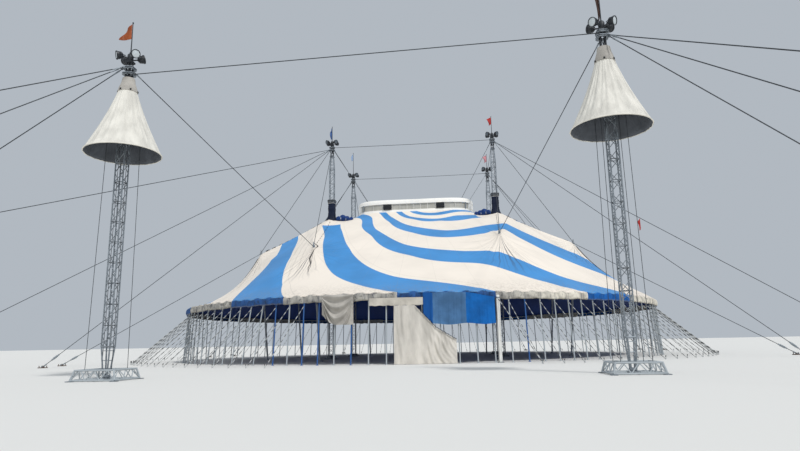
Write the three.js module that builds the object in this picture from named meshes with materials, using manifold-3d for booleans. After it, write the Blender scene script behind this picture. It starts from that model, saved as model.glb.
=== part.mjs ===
// Circus big top held by four lattice masts, with a cupola between them,
// two cone-capped masts on the forecourt and all the stays, at one tenth of real size.
// Every length below is in metres of the real tent. The whole group is then scaled
// to model millimetres. X runs to the right, Y away from the entrance, Z up.

import * as THREE from 'three';
import { mergeVertices } from 'three/addons/utils/BufferGeometryUtils.js';
import Module from 'manifold-3d';

const wasm = await Module();
wasm.setup();

// Scale and fits
const MODEL_MM_PER_METRE = 100;
const GAP = 0.003;
const SIDES = [-1, 1];
const TRIANGLE_SHARE = 1.7;

// Plan of the tent
const EAVE_RADIUS = 25.5;
const EAVE_HEIGHT = 5.25;
const VALANCE_DEPTH = 0.62;
const VALANCE_THICKNESS = 0.05;
const ROOF_THICKNESS = 0.08;
const LEAST_EDGE = 0.008;
const HOLE_SPARE = 0.012;
const HOLE_HEIGHT = 4;
const MAST_X = 8.96;
const MAST_Y = 6.65;
const MAST_RADIUS = Math.hypot(MAST_X, MAST_Y);
const MAST_ANGLE = THREE.MathUtils.radToDeg(Math.atan2(MAST_Y, MAST_X));
const ROOF_AT_MAST = 15.34;

// Quarter poles, two to each mast: plan radius, plan angles from the X axis, tips
const POLE_RADIUS = 18.2;
const POLE_FOOT_RADIUS = 17.2;
const OUTER_POLE_ANGLE = 23.1;
const INNER_POLE_ANGLE = 61.8;
const OUTER_TIP = 11.59;
const INNER_TIP = 11.4;
const SLACK_INNER_TIP = 10.7;
const RIDGE_SAG = 0.3;
const OUTER_RIDGE_SAG = 1.2;
const SLACK_RIDGE_SAG = 2.2;
const RIDGE_STEEPNESS = 1.5;
const FORM_SWEEPS = 800;
const TIP_ABOVE_ROOF = 0.45;
const POLE_WIDTH = 0.2;
const POLE_SHOE = [0.5, 0.5, 0.06];

// Lattice masts of the tent
const MAST_WIDTH = 0.58;
const CHORD_WIDTH = 0.08;
const BRACE_WIDTH = 0.05;
const MAST_LATTICE_TOP = 22.3;
const MAST_BAYS = 5;
const FOOT_PLATE = 1.3;
const FOOT_PLATE_THICKNESS = 0.1;
const TOP_PLATE_THICKNESS = 0.06;

// Dark sleeves where the masts pass through the roof
const SLEEVE_BOTTOM = 14.55;
const SLEEVE_TOP = 16.95;
const SLEEVE_WALL = 0.05;
const SLEEVE_RING_WIDTH = 0.9;
const SLEEVE_RING_HEIGHT = 0.3;

// Lamp heads
const LAMP_SPREAD = [0.4, 0.3];
const LAMP_TAPER = 0.8;
const NECK_WIDTH = 0.34;
const LAMP_RADIUS = 0.24;
const LAMP_LENGTH = 0.34;
const LAMP_TILT = 55;
const ARM_WIDTH = 0.09;
const FLAG_POLE_WIDTH = 0.06;
const LAMP_HEIGHT = 23.93;
const FLAG_POLE_TOPS = { front_left: 25.9, front_right: 26.1, back_left: 27.1, back_right: 26.0 };
const FLAG_LENGTH = 1.1;
const FLAG_WIDTH = 0.22;
const FLAG_THICKNESS = 0.06;

// Cupola between the masts
const CUPOLA_HALF_LENGTH = 6.7;
const CUPOLA_HALF_DEPTH = 4.85;
const CUPOLA_SQUARENESS = 5;
const CUPOLA_SEAT = 16.05;
const CUPOLA_BASE_BOTTOM = 15.9;
const CUPOLA_BASE_TOP = 16.3;
const CUPOLA_BAND_TOP = 16.95;
const CUPOLA_TOP = 17.45;
const CUPOLA_WALL = 0.2;
const CUPOLA_BAND_INSET = 0.22;
const CUPOLA_CAP_THICKNESS = 0.12;
const CUPOLA_CAP_SHOULDER = 0.35;
const HOIST_POINT = [5.4, 3.8];
const BOX_OFFSET_X = 3;
const BOX_SIZE = [0.9, 0.2, 0.55];
const BOX_BOTTOM = 16.36;

// Side poles round the edge and their straps to the ground
const SIDE_POLE_STEP = 3;
const SIDE_POLE_WIDTH = 0.1;
const EAVE_ROPE_WIDTH = 0.14;
const EAVE_ROPE_HEIGHT = 5.07;
const EAVE_ROPE_INSET = VALANCE_THICKNESS + GAP + EAVE_ROPE_WIDTH / 2;
const ROPE_END_ANGLE = 0.12;
const SIDE_POLE_LEAN = 0.3;
const SLANT_DEGREES = 1.6;
const SLANTED_UP_TO = 246;
const STRAP_TOP = 4.5;
const STRAP_WIDTH = 0.05;
const STRAP_FOOT_RADIUS = 30.4;
const ENTRANCE_LEFT = -6.2;
const ENTRANCE_RIGHT = 8.2;

// Fabric at the entrance
const CLOTH_THICKNESS = 0.05;
const CLOTH_COLUMNS = 8;
const LEAST_COLUMN_ANGLE = 0.3;
const SWAG_SPAN = [-5.6, -3.13];
const SWAG_TOP = 5.2;
const SWAG_BOTTOM = 2.95;
const SWAG_CORNER = 3.75;
const SWAG_ROUND = 0.5;
const FASCIA_SPAN = [-1.92, 2.08];
const FASCIA_TOP = 4.85;
const FASCIA_BOTTOM = 4.28;
const WING_SPAN = [-0.08, 4.43];
const WING_TOP = FASCIA_BOTTOM - GAP;
const WING_EDGE = [[1.46, WING_TOP], [2.98, 2.61], [4.43, 1.72]];
const BLUE_SPAN = [2.1, 7.35];
const BLUE_TOP = 5.2;
const BLUE_BOTTOM = 2.85;
const BLUE_ABOVE_WING = 0.05;
const POST_X = 7.6;
const POST_WIDTH = 0.22;
const POST_TURN = 17.6;
const POST_HEIGHT = 4.95;

// Forecourt masts with cone caps
const CONE_MAST_X = 12.4;
const CONE_MAST_Y = -41.5;
const CONE_MAST_WIDTH = 0.52;
const CONE_MAST_LATTICE_BOTTOM = 1.6;
const CONE_MAST_LATTICE_TOP = 14.6;
const CONE_MAST_BAYS = 5;
const CONE_FOOT_WIDTH = 0.3;
const CONE_FOOT_HEIGHT = 0.14;
const CONE_LEG_WIDTH = 0.072;
const CONE_LEG_SPREAD = 0.1;
const CONE_LEG_LAP = 0.04;
const CONE_LAMP_HEIGHT = 16.95;
const CONE_FLAG_POLE_TOP = 19.05;
const BASE_WIDTH = 2.3;
const BASE_HEIGHT = 0.56;
const BASE_SPLAY = 0.12;
const BASE_BAR = 0.09;
const BASE_PLATE_HEIGHT = 0.12;
const BASE_PLATE_WIDTH = 0.5;
const BASE_POST_WIDTH = 0.081;
const BASE_BRACE_WIDTH = 0.054;
const BASE_BRACE_SHARES = [[0.02, 0.25], [0.48, 0.27], [0.52, 0.73], [0.98, 0.75]];
const CONE_RIM_RADIUS = 1.93;
const CONE_RIM_HEIGHT = 11.43;
const CONE_SHOULDER_RADIUS = 0.47;
const CONE_SHOULDER_HEIGHT = 14.93;
const CONE_COLLAR_RADIUS = 0.31;
const CONE_COLLAR_TOP = 15.7;
const CONE_WALL = 0.05;
const CONE_SIDES = 20;

// Cables, their rings and their ground anchors, as plan positions
const CABLE_WIDTH = 0.06;
const STAY_RING_HEIGHT = 0.14;
const STAY_RING_ABOVE_LATTICE = 0.75;
const TIE_RING_ABOVE_LATTICE = 1.05;
const CONE_STAY_RING = 16.28;
const CONE_TIE_RING_LEFT = 15.95;
const CONE_TIE_RING_RIGHT = 16.52;
const STAY_RING_WIDTH = 0.6;
const ANCHOR_SIZE = 0.6;
const ANCHOR_HEIGHT = 0.2;
const STAY_ANCHORS = {
  front_left: [[-35, -32], [-30.5, -21.5], [-35, -58.2]],
  front_right: [[35, -24.3], [30.5, -21.5]],
  back_left: [[-35, 32], [-30.5, 21.5]],
  back_right: [[35, 32], [30.5, 21.5]],
};
const OUTER_POLE_ANCHOR = [32.3, 16.5];
const BACK_POLE_ANCHOR = [15.2, 31.5];
const CONE_ANCHORS = [[26.5, -65.5], [27.5, -57], [26, -50]];
const FRONT_END = -65.5;
const BACK_END = 32;
const CENTRE_SHIFT = -(FRONT_END + BACK_END) / 2;

const COLOURS = {
  steel: { color: 0x8f969c, roughness: 0.45, metalness: 0.8 },
  paleSteel: { color: 0xa9aeb2, roughness: 0.5, metalness: 0.7 },
  cable: { color: 0x3c4146, roughness: 0.6, metalness: 0.6 },
  roofCloth: { color: 0xf1ede2, roughness: 0.6, metalness: 0 },
  blueCloth: { color: 0x1f62b4, roughness: 0.6, metalness: 0 },
  navyCloth: { color: 0x16243f, roughness: 0.7, metalness: 0 },
  greyCloth: { color: 0xd2cfc6, roughness: 0.75, metalness: 0 },
  coneCloth: { color: 0xdcd8cb, roughness: 0.7, metalness: 0 },
  lamp: { color: 0x2a2f36, roughness: 0.5, metalness: 0.4 },
  band: { color: 0xa4a8a6, roughness: 0.7, metalness: 0.2 },
};

const group = new THREE.Group();

function addNode(name, geometry, colour, position = [0, 0, 0]) {
  const mesh = new THREE.Mesh(geometry, new THREE.MeshStandardMaterial(COLOURS[colour]));
  mesh.name = name;
  mesh.position.set(...position);
  group.add(mesh);
}

// Closed mesh to solid and back, for joining and cutting
function toSolid(geometry) {
  const bare = geometry.clone();
  bare.deleteAttribute('normal');
  bare.deleteAttribute('uv');
  const merged = mergeVertices(bare, 1e-5);
  return new wasm.Manifold(new wasm.Mesh({
    numProp: 3,
    vertProperties: Float32Array.from(merged.attributes.position.array),
    triVerts: Uint32Array.from(merged.index.array),
  }));
}

function toGeometry(solid) {
  const mesh = solid.getMesh();
  const geometry = new THREE.BufferGeometry();
  geometry.setAttribute('position', new THREE.BufferAttribute(mesh.vertProperties, 3));
  geometry.setIndex(new THREE.BufferAttribute(mesh.triVerts, 1));
  geometry.computeVertexNormals();
  return geometry;
}

function join(solids) {
  return solids.reduce((sum, solid) => sum.add(solid));
}

// Bar between two points: square, or three-sided where slim braces need few faces
function bar(from, to, width, threeSided = false) {
  const start = new THREE.Vector3(...from);
  const end = new THREE.Vector3(...to);
  const direction = end.clone().sub(start);
  const length = direction.length();
  const geometry = threeSided ? new THREE.CylinderGeometry(width / TRIANGLE_SHARE, width / TRIANGLE_SHARE, length, 3)
    : new THREE.BoxGeometry(width, width, length);
  if (threeSided) geometry.rotateX(Math.PI / 2);
  const turn = new THREE.Quaternion().setFromUnitVectors(
    new THREE.Vector3(0, 0, 1), direction.clone().normalize());
  geometry.applyQuaternion(turn);
  const middle = start.add(end).multiplyScalar(0.5);
  geometry.translate(middle.x, middle.y, middle.z);
  return toSolid(geometry);
}

function block(centre, size) {
  const geometry = new THREE.BoxGeometry(...size);
  geometry.translate(...centre);
  return toSolid(geometry);
}

// Bar with level ends, so that it stands flat on the ground: a three-sided prism
function strut(from, to, width) {
  const corners = [0, 1, 2].map((i) => {
    const angle = Math.atan2(from[1] + to[1], from[0] + to[0]) + Math.PI + i * 2 * Math.PI / 3;
    return [Math.cos(angle) * width / TRIANGLE_SHARE, Math.sin(angle) * width / TRIANGLE_SHARE];
  });
  const low = from[2] < to[2] ? from : to;
  const high = from[2] < to[2] ? to : from;
  const points = [low, high].flatMap((end) => corners.map(([x, y]) => [end[0] + x, end[1] + y, end[2]]));
  return toSolid(closedMesh(points, [
    [0, 2, 1], [3, 4, 5],
    [0, 1, 4], [0, 4, 3], [1, 2, 5], [1, 5, 4], [2, 0, 3], [2, 3, 5],
  ]));
}

function closedMesh(points, faces) {
  const geometry = new THREE.BufferGeometry();
  geometry.setAttribute('position', new THREE.Float32BufferAttribute(points.flat(), 3));
  geometry.setIndex(faces.flat());
  return geometry;
}

// A sheet with thickness: two grids of points, outer and inner, closed round the border
function sheetSolid(outer, inner, mirrored) {
  const rows = outer.length;
  const columns = outer[0].length;
  const points = [...outer.flat(), ...inner.flat()];
  const innerStart = rows * columns;
  const at = (row, column) => row * columns + column;
  const faces = [];
  const quad = (a, b, c, d) => {
    faces.push([a, b, c], [a, c, d]);
  };
  for (let row = 0; row < rows - 1; row++) {
    for (let column = 0; column < columns - 1; column++) {
      const corners = [at(row, column), at(row + 1, column), at(row + 1, column + 1), at(row, column + 1)];
      const [a, b, c, d] = corners.map((corner) => corner + innerStart);
      quad(...corners);
      quad(c, b, a, d);
    }
  }
  const border = [];
  for (let column = 0; column < columns - 1; column++) border.push(at(0, column));
  for (let row = 0; row < rows - 1; row++) border.push(at(row, columns - 1));
  for (let column = columns - 1; column > 0; column--) border.push(at(rows - 1, column));
  for (let row = rows - 1; row > 0; row--) border.push(at(row, 0));
  border.forEach((from, i) => {
    const to = border[(i + 1) % border.length];
    quad(from, to, to + innerStart, from + innerStart);
  });
  const turned = mirrored ? faces.map(([a, b, c]) => [a, c, b]) : faces;
  return toSolid(closedMesh(points, turned));
}

// Rings of the cloth net, counted from the cupola, that pass the masts, poles and eave
const MAST_RING = 3;
const POLE_RING = 7;
const EAVE_RING = 11;

// Spokes of the cloth net in the quarter where X and Y are positive, in degrees
function spokeAngles() {
  const stations = [
    [0, OUTER_POLE_ANGLE, 3],
    [OUTER_POLE_ANGLE, MAST_ANGLE, POLE_RING - MAST_RING],
    [MAST_ANGLE, INNER_POLE_ANGLE, POLE_RING - MAST_RING],
    [INNER_POLE_ANGLE, 90, 4],
  ];
  const angles = [0];
  for (const [from, to, steps] of stations) {
    for (let i = 1; i <= steps; i++) angles.push(from + (to - from) * i / steps);
  }
  return angles;
}
const SPOKES = spokeAngles();

function cupolaRadius(degrees) {
  const angle = THREE.MathUtils.degToRad(degrees);
  const n = CUPOLA_SQUARENESS;
  const x = Math.abs(Math.cos(angle)) / CUPOLA_HALF_LENGTH;
  const y = Math.abs(Math.sin(angle)) / CUPOLA_HALF_DEPTH;
  return (x ** n + y ** n) ** (-1 / n);
}

// Rings of the net from the cupola to the eave, as radii on one spoke
function ringRadii(degrees) {
  const stations = [
    [cupolaRadius(degrees), MAST_RADIUS, MAST_RING],
    [MAST_RADIUS, POLE_RADIUS, POLE_RING - MAST_RING],
    [POLE_RADIUS, EAVE_RADIUS, EAVE_RING - POLE_RING],
  ];
  const radii = [stations[0][0]];
  for (const [from, to, steps] of stations) {
    for (let i = 1; i <= steps; i++) radii.push(from + (to - from) * i / steps);
  }
  return radii;
}
function polar(radius, degrees, z) {
  const angle = THREE.MathUtils.degToRad(degrees);
  return [radius * Math.cos(angle), radius * Math.sin(angle), z];
}

// Form finding: the cloth is held at the masts, the pole tips and the belts that
// run between them, and each free point comes to rest at the mean of its
// neighbours, weighed by the width of cloth that pulls on it
function formHeights(innerTip, outerSag, seams) {
  const radii = SPOKES.map(ringRadii);
  const heights = radii.map((column) => column.map((radius, k) =>
    CUPOLA_SEAT + (EAVE_HEIGHT - CUPOLA_SEAT) * k / EAVE_RING));
  const held = new Map();
  const mastSpoke = SPOKES.indexOf(MAST_ANGLE);
  const ridgeSteps = POLE_RING - MAST_RING;
  for (const [towards, tip, sag] of [[-1, OUTER_TIP, outerSag], [1, innerTip, OUTER_RIDGE_SAG]]) {
    for (let i = 0; i <= ridgeSteps; i++) {
      const share = i / ridgeSteps;
      const chord = ROOF_AT_MAST + (tip - TIP_ABOVE_ROOF - ROOF_AT_MAST) * share;
      held.set(`${mastSpoke + towards * i},${MAST_RING + i}`, chord - RIDGE_SAG * 4 * share * (1 - share));
    }
    for (let k = POLE_RING + 1; k < EAVE_RING; k++) {
      const share = (k - POLE_RING) / (EAVE_RING - POLE_RING);
      const chord = tip - TIP_ABOVE_ROOF + (EAVE_HEIGHT - tip + TIP_ABOVE_ROOF) * share;
      held.set(`${mastSpoke + towards * ridgeSteps},${k}`,
        chord - sag * 4 * share * (1 - share) ** RIDGE_STEEPNESS);
    }
  }
  const last = SPOKES.length - 1;
  for (const j of seams ? [0, last] : []) {
    seams[j].forEach((height, k) => held.set(`${j},${k}`, height));
  }
  for (let sweep = 0; sweep < FORM_SWEEPS; sweep++) {
    for (let j = 0; j <= last; j++) {
      const before = j === 0 ? 1 : j - 1;
      const after = j === last ? last - 1 : j + 1;
      for (let k = 1; k < EAVE_RING; k++) {
        if (held.has(`${j},${k}`)) {
          heights[j][k] = held.get(`${j},${k}`);
          continue;
        }
        const radius = radii[j][k];
        const hoopBefore = radius * THREE.MathUtils.degToRad(Math.abs(SPOKES[j] - SPOKES[before]));
        const hoopAfter = radius * THREE.MathUtils.degToRad(Math.abs(SPOKES[after] - SPOKES[j]));
        const inward = radius - radii[j][k - 1];
        const outward = radii[j][k + 1] - radius;
        const hoopWidth = (hoopBefore + hoopAfter) / 2;
        const radialWidth = (inward + outward) / 2;
        const pulls = [
          [radialWidth / hoopBefore, heights[before][k]],
          [radialWidth / hoopAfter, heights[after][k]],
          [hoopWidth / inward * (radius - inward / 2) / radius, heights[j][k - 1]],
          [hoopWidth / outward * (radius + outward / 2) / radius, heights[j][k + 1]],
        ];
        const total = pulls.reduce((sum, [weight]) => sum + weight, 0);
        heights[j][k] = pulls.reduce((sum, [weight, height]) => sum + weight * height, 0) / total;
      }
    }
  }
  return heights;
}

// The front left quarter is slacker than its fellows, and meets them in the same seams
const TAUT_HEIGHTS = formHeights(INNER_TIP, OUTER_RIDGE_SAG);
const SLACK_HEIGHTS = formHeights(SLACK_INNER_TIP, SLACK_RIDGE_SAG, TAUT_HEIGHTS);
function isSlack(signX, signY) {
  return signX < 0 && signY < 0;
}

// One quarter of the roof with its valance, open where mast sleeve and poles pass
function roofQuarter(signX, signY) {
  const heights = isSlack(signX, signY) ? SLACK_HEIGHTS : TAUT_HEIGHTS;
  const last = SPOKES.length - 1;
  const outer = [];
  const inner = [];
  SPOKES.forEach((degrees, j) => {
    const radii = ringRadii(degrees);
    const edge = j === 0 ? 1 : (j === last ? -1 : 0);
    const place = (radius, z) => {
      const shift = THREE.MathUtils.radToDeg(edge * GAP / 2 / radius);
      const [x, y] = polar(radius, degrees + shift, z);
      return [signX * x, signY * y, z];
    };
    const outerColumn = radii.map((radius, k) => place(radius + (k === 0 ? GAP : 0), heights[j][k]));
    const innerColumn = radii.map((radius, k) => {
      const inset = k === EAVE_RING ? VALANCE_THICKNESS : 0;
      return place(radius - inset + (k === 0 ? GAP : 0), heights[j][k] - ROOF_THICKNESS);
    });
    outerColumn.push(place(EAVE_RADIUS, EAVE_HEIGHT - VALANCE_DEPTH));
    innerColumn.push(place(EAVE_RADIUS - VALANCE_THICKNESS, EAVE_HEIGHT - VALANCE_DEPTH));
    outer.push(outerColumn);
    inner.push(innerColumn);
  });
  const hole = MAST_WIDTH + 2 * (GAP + SLEEVE_WALL) + HOLE_SPARE;
  let roof = sheetSolid(outer, inner, signX * signY > 0);
  roof = roof.subtract(block([signX * MAST_X, signY * MAST_Y, ROOF_AT_MAST], [hole, hole, HOLE_HEIGHT]));
  for (const pole of polesOf(signX, signY)) {
    roof = roof.subtract(bar(pole.foot, pole.overTip, POLE_WIDTH + HOLE_SPARE));
  }
  return toGeometry(roof.simplify(LEAST_EDGE / 2));
}

// The inner pole at the front left stands lower than its fellows
function innerTipOf(signX, signY) {
  return isSlack(signX, signY) ? SLACK_INNER_TIP : INNER_TIP;
}

function polesOf(signX, signY) {
  return [[OUTER_POLE_ANGLE, OUTER_TIP, 'outer'], [INNER_POLE_ANGLE, innerTipOf(signX, signY), 'inner']]
    .map(([degrees, tip, name]) => {
      const [footX, footY] = polar(POLE_FOOT_RADIUS, degrees, 0);
      const [topX, topY] = polar(POLE_RADIUS, degrees, tip);
      const foot = [signX * footX, signY * footY, 0];
      const top = [signX * topX, signY * topY, tip];
      const along = (distance) => foot.map((value, axis) => value + (top[axis] - value) * distance / tip);
      return { name, foot, top, neck: along(tip - POLE_WIDTH), clear: along(tip + GAP), overTip: along(tip + 1) };
    });
}

// Lattice column: four chords, zigzag braces on each side and end frames
function latticeColumn(width, bottom, top, bays) {
  const offset = (width - CHORD_WIDTH) / 2;
  const corners = [[-1, -1], [1, -1], [1, 1], [-1, 1]].map(([x, y]) => [x * offset, y * offset]);
  const solids = corners.map(([x, y]) =>
    block([x, y, (bottom + top) / 2], [CHORD_WIDTH, CHORD_WIDTH, top - bottom]));
  const bayHeight = (top - bottom) / bays;
  corners.forEach((from, side) => {
    const to = corners[(side + 1) % 4];
    for (let bay = 0; bay < bays; bay++) {
      const start = (bay + side) % 2 === 0 ? from : to;
      const end = start === from ? to : from;
      const low = bottom + bay * bayHeight;
      solids.push(bar([...start, low + BRACE_WIDTH], [...end, low + bayHeight - BRACE_WIDTH], BRACE_WIDTH, true));
    }
  });
  return solids;
}

function mastGeometry() {
  const solids = latticeColumn(MAST_WIDTH, FOOT_PLATE_THICKNESS / 2, MAST_LATTICE_TOP, MAST_BAYS);
  solids.push(block([0, 0, FOOT_PLATE_THICKNESS / 2], [FOOT_PLATE, FOOT_PLATE, FOOT_PLATE_THICKNESS]));
  solids.push(block([0, 0, MAST_LATTICE_TOP - TOP_PLATE_THICKNESS / 2],
    [MAST_WIDTH, MAST_WIDTH, TOP_PLATE_THICKNESS]));
  return toGeometry(join(solids));
}

function sleeveGeometry() {
  const innerWidth = MAST_WIDTH + 2 * GAP;
  const outerWidth = innerWidth + 2 * SLEEVE_WALL;
  const height = SLEEVE_TOP - SLEEVE_BOTTOM;
  const tube = block([0, 0, SLEEVE_BOTTOM + height / 2], [outerWidth, outerWidth, height]);
  const ring = block([0, 0, SLEEVE_TOP + SLEEVE_RING_HEIGHT / 2],
    [SLEEVE_RING_WIDTH, SLEEVE_RING_WIDTH, SLEEVE_RING_HEIGHT]);
  const bore = block([0, 0, SLEEVE_TOP], [innerWidth, innerWidth, 2 * height]);
  return toGeometry(tube.add(ring).subtract(bore));
}

// Neck, arms, four drum lamps and the flag pole, from the mast's top plate up
function headGeometry(bottom, lampHeight, flagPoleTop) {
  const neckTop = lampHeight - LAMP_RADIUS;
  const solids = [block([0, 0, (bottom + GAP + neckTop) / 2], [NECK_WIDTH, NECK_WIDTH, neckTop - bottom - GAP])];
  const tilt = THREE.MathUtils.degToRad(LAMP_TILT);
  for (const x of SIDES) {
    for (const y of SIDES) {
      const lampCentre = [x * LAMP_SPREAD[0], y * LAMP_SPREAD[1], lampHeight];
      solids.push(bar([0, 0, neckTop - ARM_WIDTH], lampCentre, ARM_WIDTH, true));
      const drum = new THREE.CylinderGeometry(LAMP_RADIUS, LAMP_RADIUS * LAMP_TAPER, LAMP_LENGTH, 6);
      drum.rotateX(Math.PI / 2);
      drum.rotateX(-y * tilt);
      drum.rotateZ(-x * y * tilt / 2);
      drum.translate(...lampCentre);
      solids.push(toSolid(drum));
    }
  }
  solids.push(block([0, 0, (neckTop + flagPoleTop) / 2 - ARM_WIDTH],
    [FLAG_POLE_WIDTH, FLAG_POLE_WIDTH, flagPoleTop - neckTop]));
  solids.push(block([FLAG_WIDTH / 2, 0, flagPoleTop - FLAG_LENGTH / 2 - 2 * ARM_WIDTH],
    [FLAG_WIDTH, FLAG_THICKNESS, FLAG_LENGTH]));
  return toGeometry(join(solids));
}

// Prism ring that follows the cupola's outline between two heights and two insets
function cupolaRing(outline, outerInset, innerInset, bottom, top) {
  return toSolid(loopPrism(outline, outerInset, bottom, top)).subtract(
    toSolid(loopPrism(outline, innerInset, bottom - 1, top + 1)));
}

function allSpokes() {
  const first = SPOKES.slice(0, -1);
  const second = SPOKES.slice(1).map((angle) => 180 - angle).reverse();
  const half = [...first, ...second];
  return [...half, ...half.map((angle) => angle + 180)];
}

function loopPrism(outline, inset, bottom, top) {
  const corners = outline.map((degrees) => {
    const [x, y] = polar(cupolaRadius(degrees) - inset, degrees, 0);
    return new THREE.Vector2(x, y);
  });
  const geometry = new THREE.ExtrudeGeometry(new THREE.Shape(corners), { depth: top - bottom, bevelEnabled: false });
  geometry.translate(0, 0, bottom);
  return geometry;
}

function addCupola() {
  const spokes = allSpokes();
  const outline = spokes.filter((degrees, i) => i % 2 === 0);
  addNode('cupola_base', toGeometry(
    cupolaRing(spokes, 0, CUPOLA_WALL, CUPOLA_BASE_BOTTOM, CUPOLA_BASE_TOP)), 'roofCloth');
  addNode('cupola_side_band', toGeometry(
    cupolaRing(outline, CUPOLA_BAND_INSET - CUPOLA_WALL / 2, CUPOLA_BAND_INSET,
      CUPOLA_BASE_TOP + GAP, CUPOLA_BAND_TOP)), 'band');
  const capBottom = CUPOLA_BAND_TOP + GAP;
  const body = toSolid(loopPrism(outline, 0, capBottom, CUPOLA_TOP - CUPOLA_CAP_SHOULDER / 2));
  const crown = toSolid(loopPrism(outline, CUPOLA_CAP_SHOULDER, capBottom, CUPOLA_TOP));
  const hollow = toSolid(loopPrism(outline, CUPOLA_CAP_SHOULDER + CUPOLA_WALL,
    CUPOLA_BAND_TOP - 1, CUPOLA_TOP - CUPOLA_CAP_THICKNESS));
  addNode('cupola_cap', toGeometry(body.add(crown).subtract(hollow)), 'roofCloth');
  for (const y of SIDES) {
    for (const x of SIDES) {
      const name = `cupola_box_${y < 0 ? 'front' : 'back'}_${x < 0 ? 'left' : 'right'}`;
      const bandFace = CUPOLA_HALF_DEPTH - CUPOLA_BAND_INSET + CUPOLA_WALL / 2;
      const geometry = new THREE.BoxGeometry(...BOX_SIZE);
      addNode(name, geometry, 'lamp',
        [x * BOX_OFFSET_X, y * (bandFace + GAP + BOX_SIZE[1] / 2), BOX_BOTTOM + BOX_SIZE[2] / 2]);
    }
  }
}

// Point on the many-sided eave at a given plan angle, moved in or out by an offset
function onEave(degrees, offset, z) {
  const turned = ((degrees % 360) + 360) % 360;
  const spokes = [...allSpokes(), 360];
  const index = spokes.findIndex((angle, i) => turned >= angle && turned <= spokes[i + 1]);
  const half = THREE.MathUtils.degToRad((spokes[index + 1] - spokes[index]) / 2);
  const middle = THREE.MathUtils.degToRad((spokes[index + 1] + spokes[index]) / 2);
  const angle = THREE.MathUtils.degToRad(turned);
  const radius = (EAVE_RADIUS * Math.cos(half) + offset) / Math.cos(angle - middle);
  return [radius * Math.cos(angle), radius * Math.sin(angle), z];
}

function degreesAtX(x) {
  return -THREE.MathUtils.radToDeg(Math.acos(x / EAVE_RADIUS));
}

// Poles under the edge of one quarter, hung on its eave rope, with their ground straps
function sidePolesGeometry(signX, signY) {
  const start = { '1,1': 0, '-1,1': 90, '-1,-1': 180, '1,-1': 270 }[`${signX},${signY}`];
  const ropeAngles = [...new Set([...allSpokes(), 360])].filter((a) => a > start && a < start + 90);
  const knots = [start + ROPE_END_ANGLE, ...ropeAngles, start + 90 - ROPE_END_ANGLE];
  const ropeFace = (offset) => knots.map((degrees) => [1, -1].map((side) =>
    onEave(degrees, offset - EAVE_ROPE_INSET, EAVE_ROPE_HEIGHT + side * EAVE_ROPE_WIDTH / 2)));
  const solids = [sheetSolid(ropeFace(EAVE_ROPE_WIDTH / 2), ropeFace(-EAVE_ROPE_WIDTH / 2), true)];
  for (let degrees = start + SIDE_POLE_STEP / 2; degrees < start + 90; degrees += SIDE_POLE_STEP) {
    const top = onEave(degrees, -EAVE_ROPE_INSET, EAVE_ROPE_HEIGHT);
    const slant = isSlack(signX, signY) && degrees < SLANTED_UP_TO ? SLANT_DEGREES : 0;
    const foot = onEave(degrees - slant, SIDE_POLE_LEAN - EAVE_ROPE_INSET, 0);
    solids.push(strut(foot, top, SIDE_POLE_WIDTH));
    const atEntrance = signY < 0 && foot[0] > ENTRANCE_LEFT && foot[0] < ENTRANCE_RIGHT;
    if (atEntrance) continue;
    const share = STRAP_TOP / EAVE_ROPE_HEIGHT;
    const strapTop = foot.map((value, axis) => value + (top[axis] - value) * share);
    const [footX, footY] = polar(STRAP_FOOT_RADIUS, degrees, 0);
    solids.push(strut(strapTop, [footX, footY, 0], STRAP_WIDTH));
  }
  return toGeometry(join(solids));
}

// Distance of hung cloth outside the eave line: clear of the valance and the leaning poles
function clothOffset(z) {
  const poleCentre = SIDE_POLE_LEAN * (1 - z / EAVE_ROPE_HEIGHT) - EAVE_ROPE_INSET;
  return Math.max(GAP, poleCentre + SIDE_POLE_WIDTH / TRIANGLE_SHARE + GAP);
}

// Cloth hung along the eave: follows its many-sided line between two X positions
function curtain(span, topAt, bottomAt) {
  const [from, to] = span.map(degreesAtX);
  const apart = (a, b) => Math.abs(a - b) > LEAST_COLUMN_ANGLE;
  const spokes = allSpokes().map((a) => a - 360)
    .filter((a) => a > from && a < to && apart(a, from) && apart(a, to));
  const even = Array.from({ length: CLOTH_COLUMNS - 1 }, (_, i) => from + (to - from) * (i + 1) / CLOTH_COLUMNS)
    .filter((a) => spokes.every((spoke) => apart(a, spoke)));
  const columns = [from, ...spokes, ...even, to].sort((a, b) => a - b);
  const face = (thickness) => columns.map((degrees) => {
    const x = onEave(degrees, 0, 0)[0];
    const share = (x - span[0]) / (span[1] - span[0]);
    return [topAt(share), bottomAt(share)].map((z) => onEave(degrees, clothOffset(z) + thickness, z));
  });
  return toGeometry(sheetSolid(face(CLOTH_THICKNESS), face(0), true));
}

// Height of the wall wing's edge, which falls to the right in two straight runs
function wingTop(x) {
  const [first, ...rest] = WING_EDGE;
  if (x <= first[0]) return first[1];
  const next = rest.findIndex(([edgeX]) => x <= edgeX);
  if (next < 0) return rest.at(-1)[1];
  const [fromX, fromZ] = WING_EDGE[next];
  const [toX, toZ] = rest[next];
  return fromZ + (toZ - fromZ) * Math.min(1, (x - fromX) / (toX - fromX));
}

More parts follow.
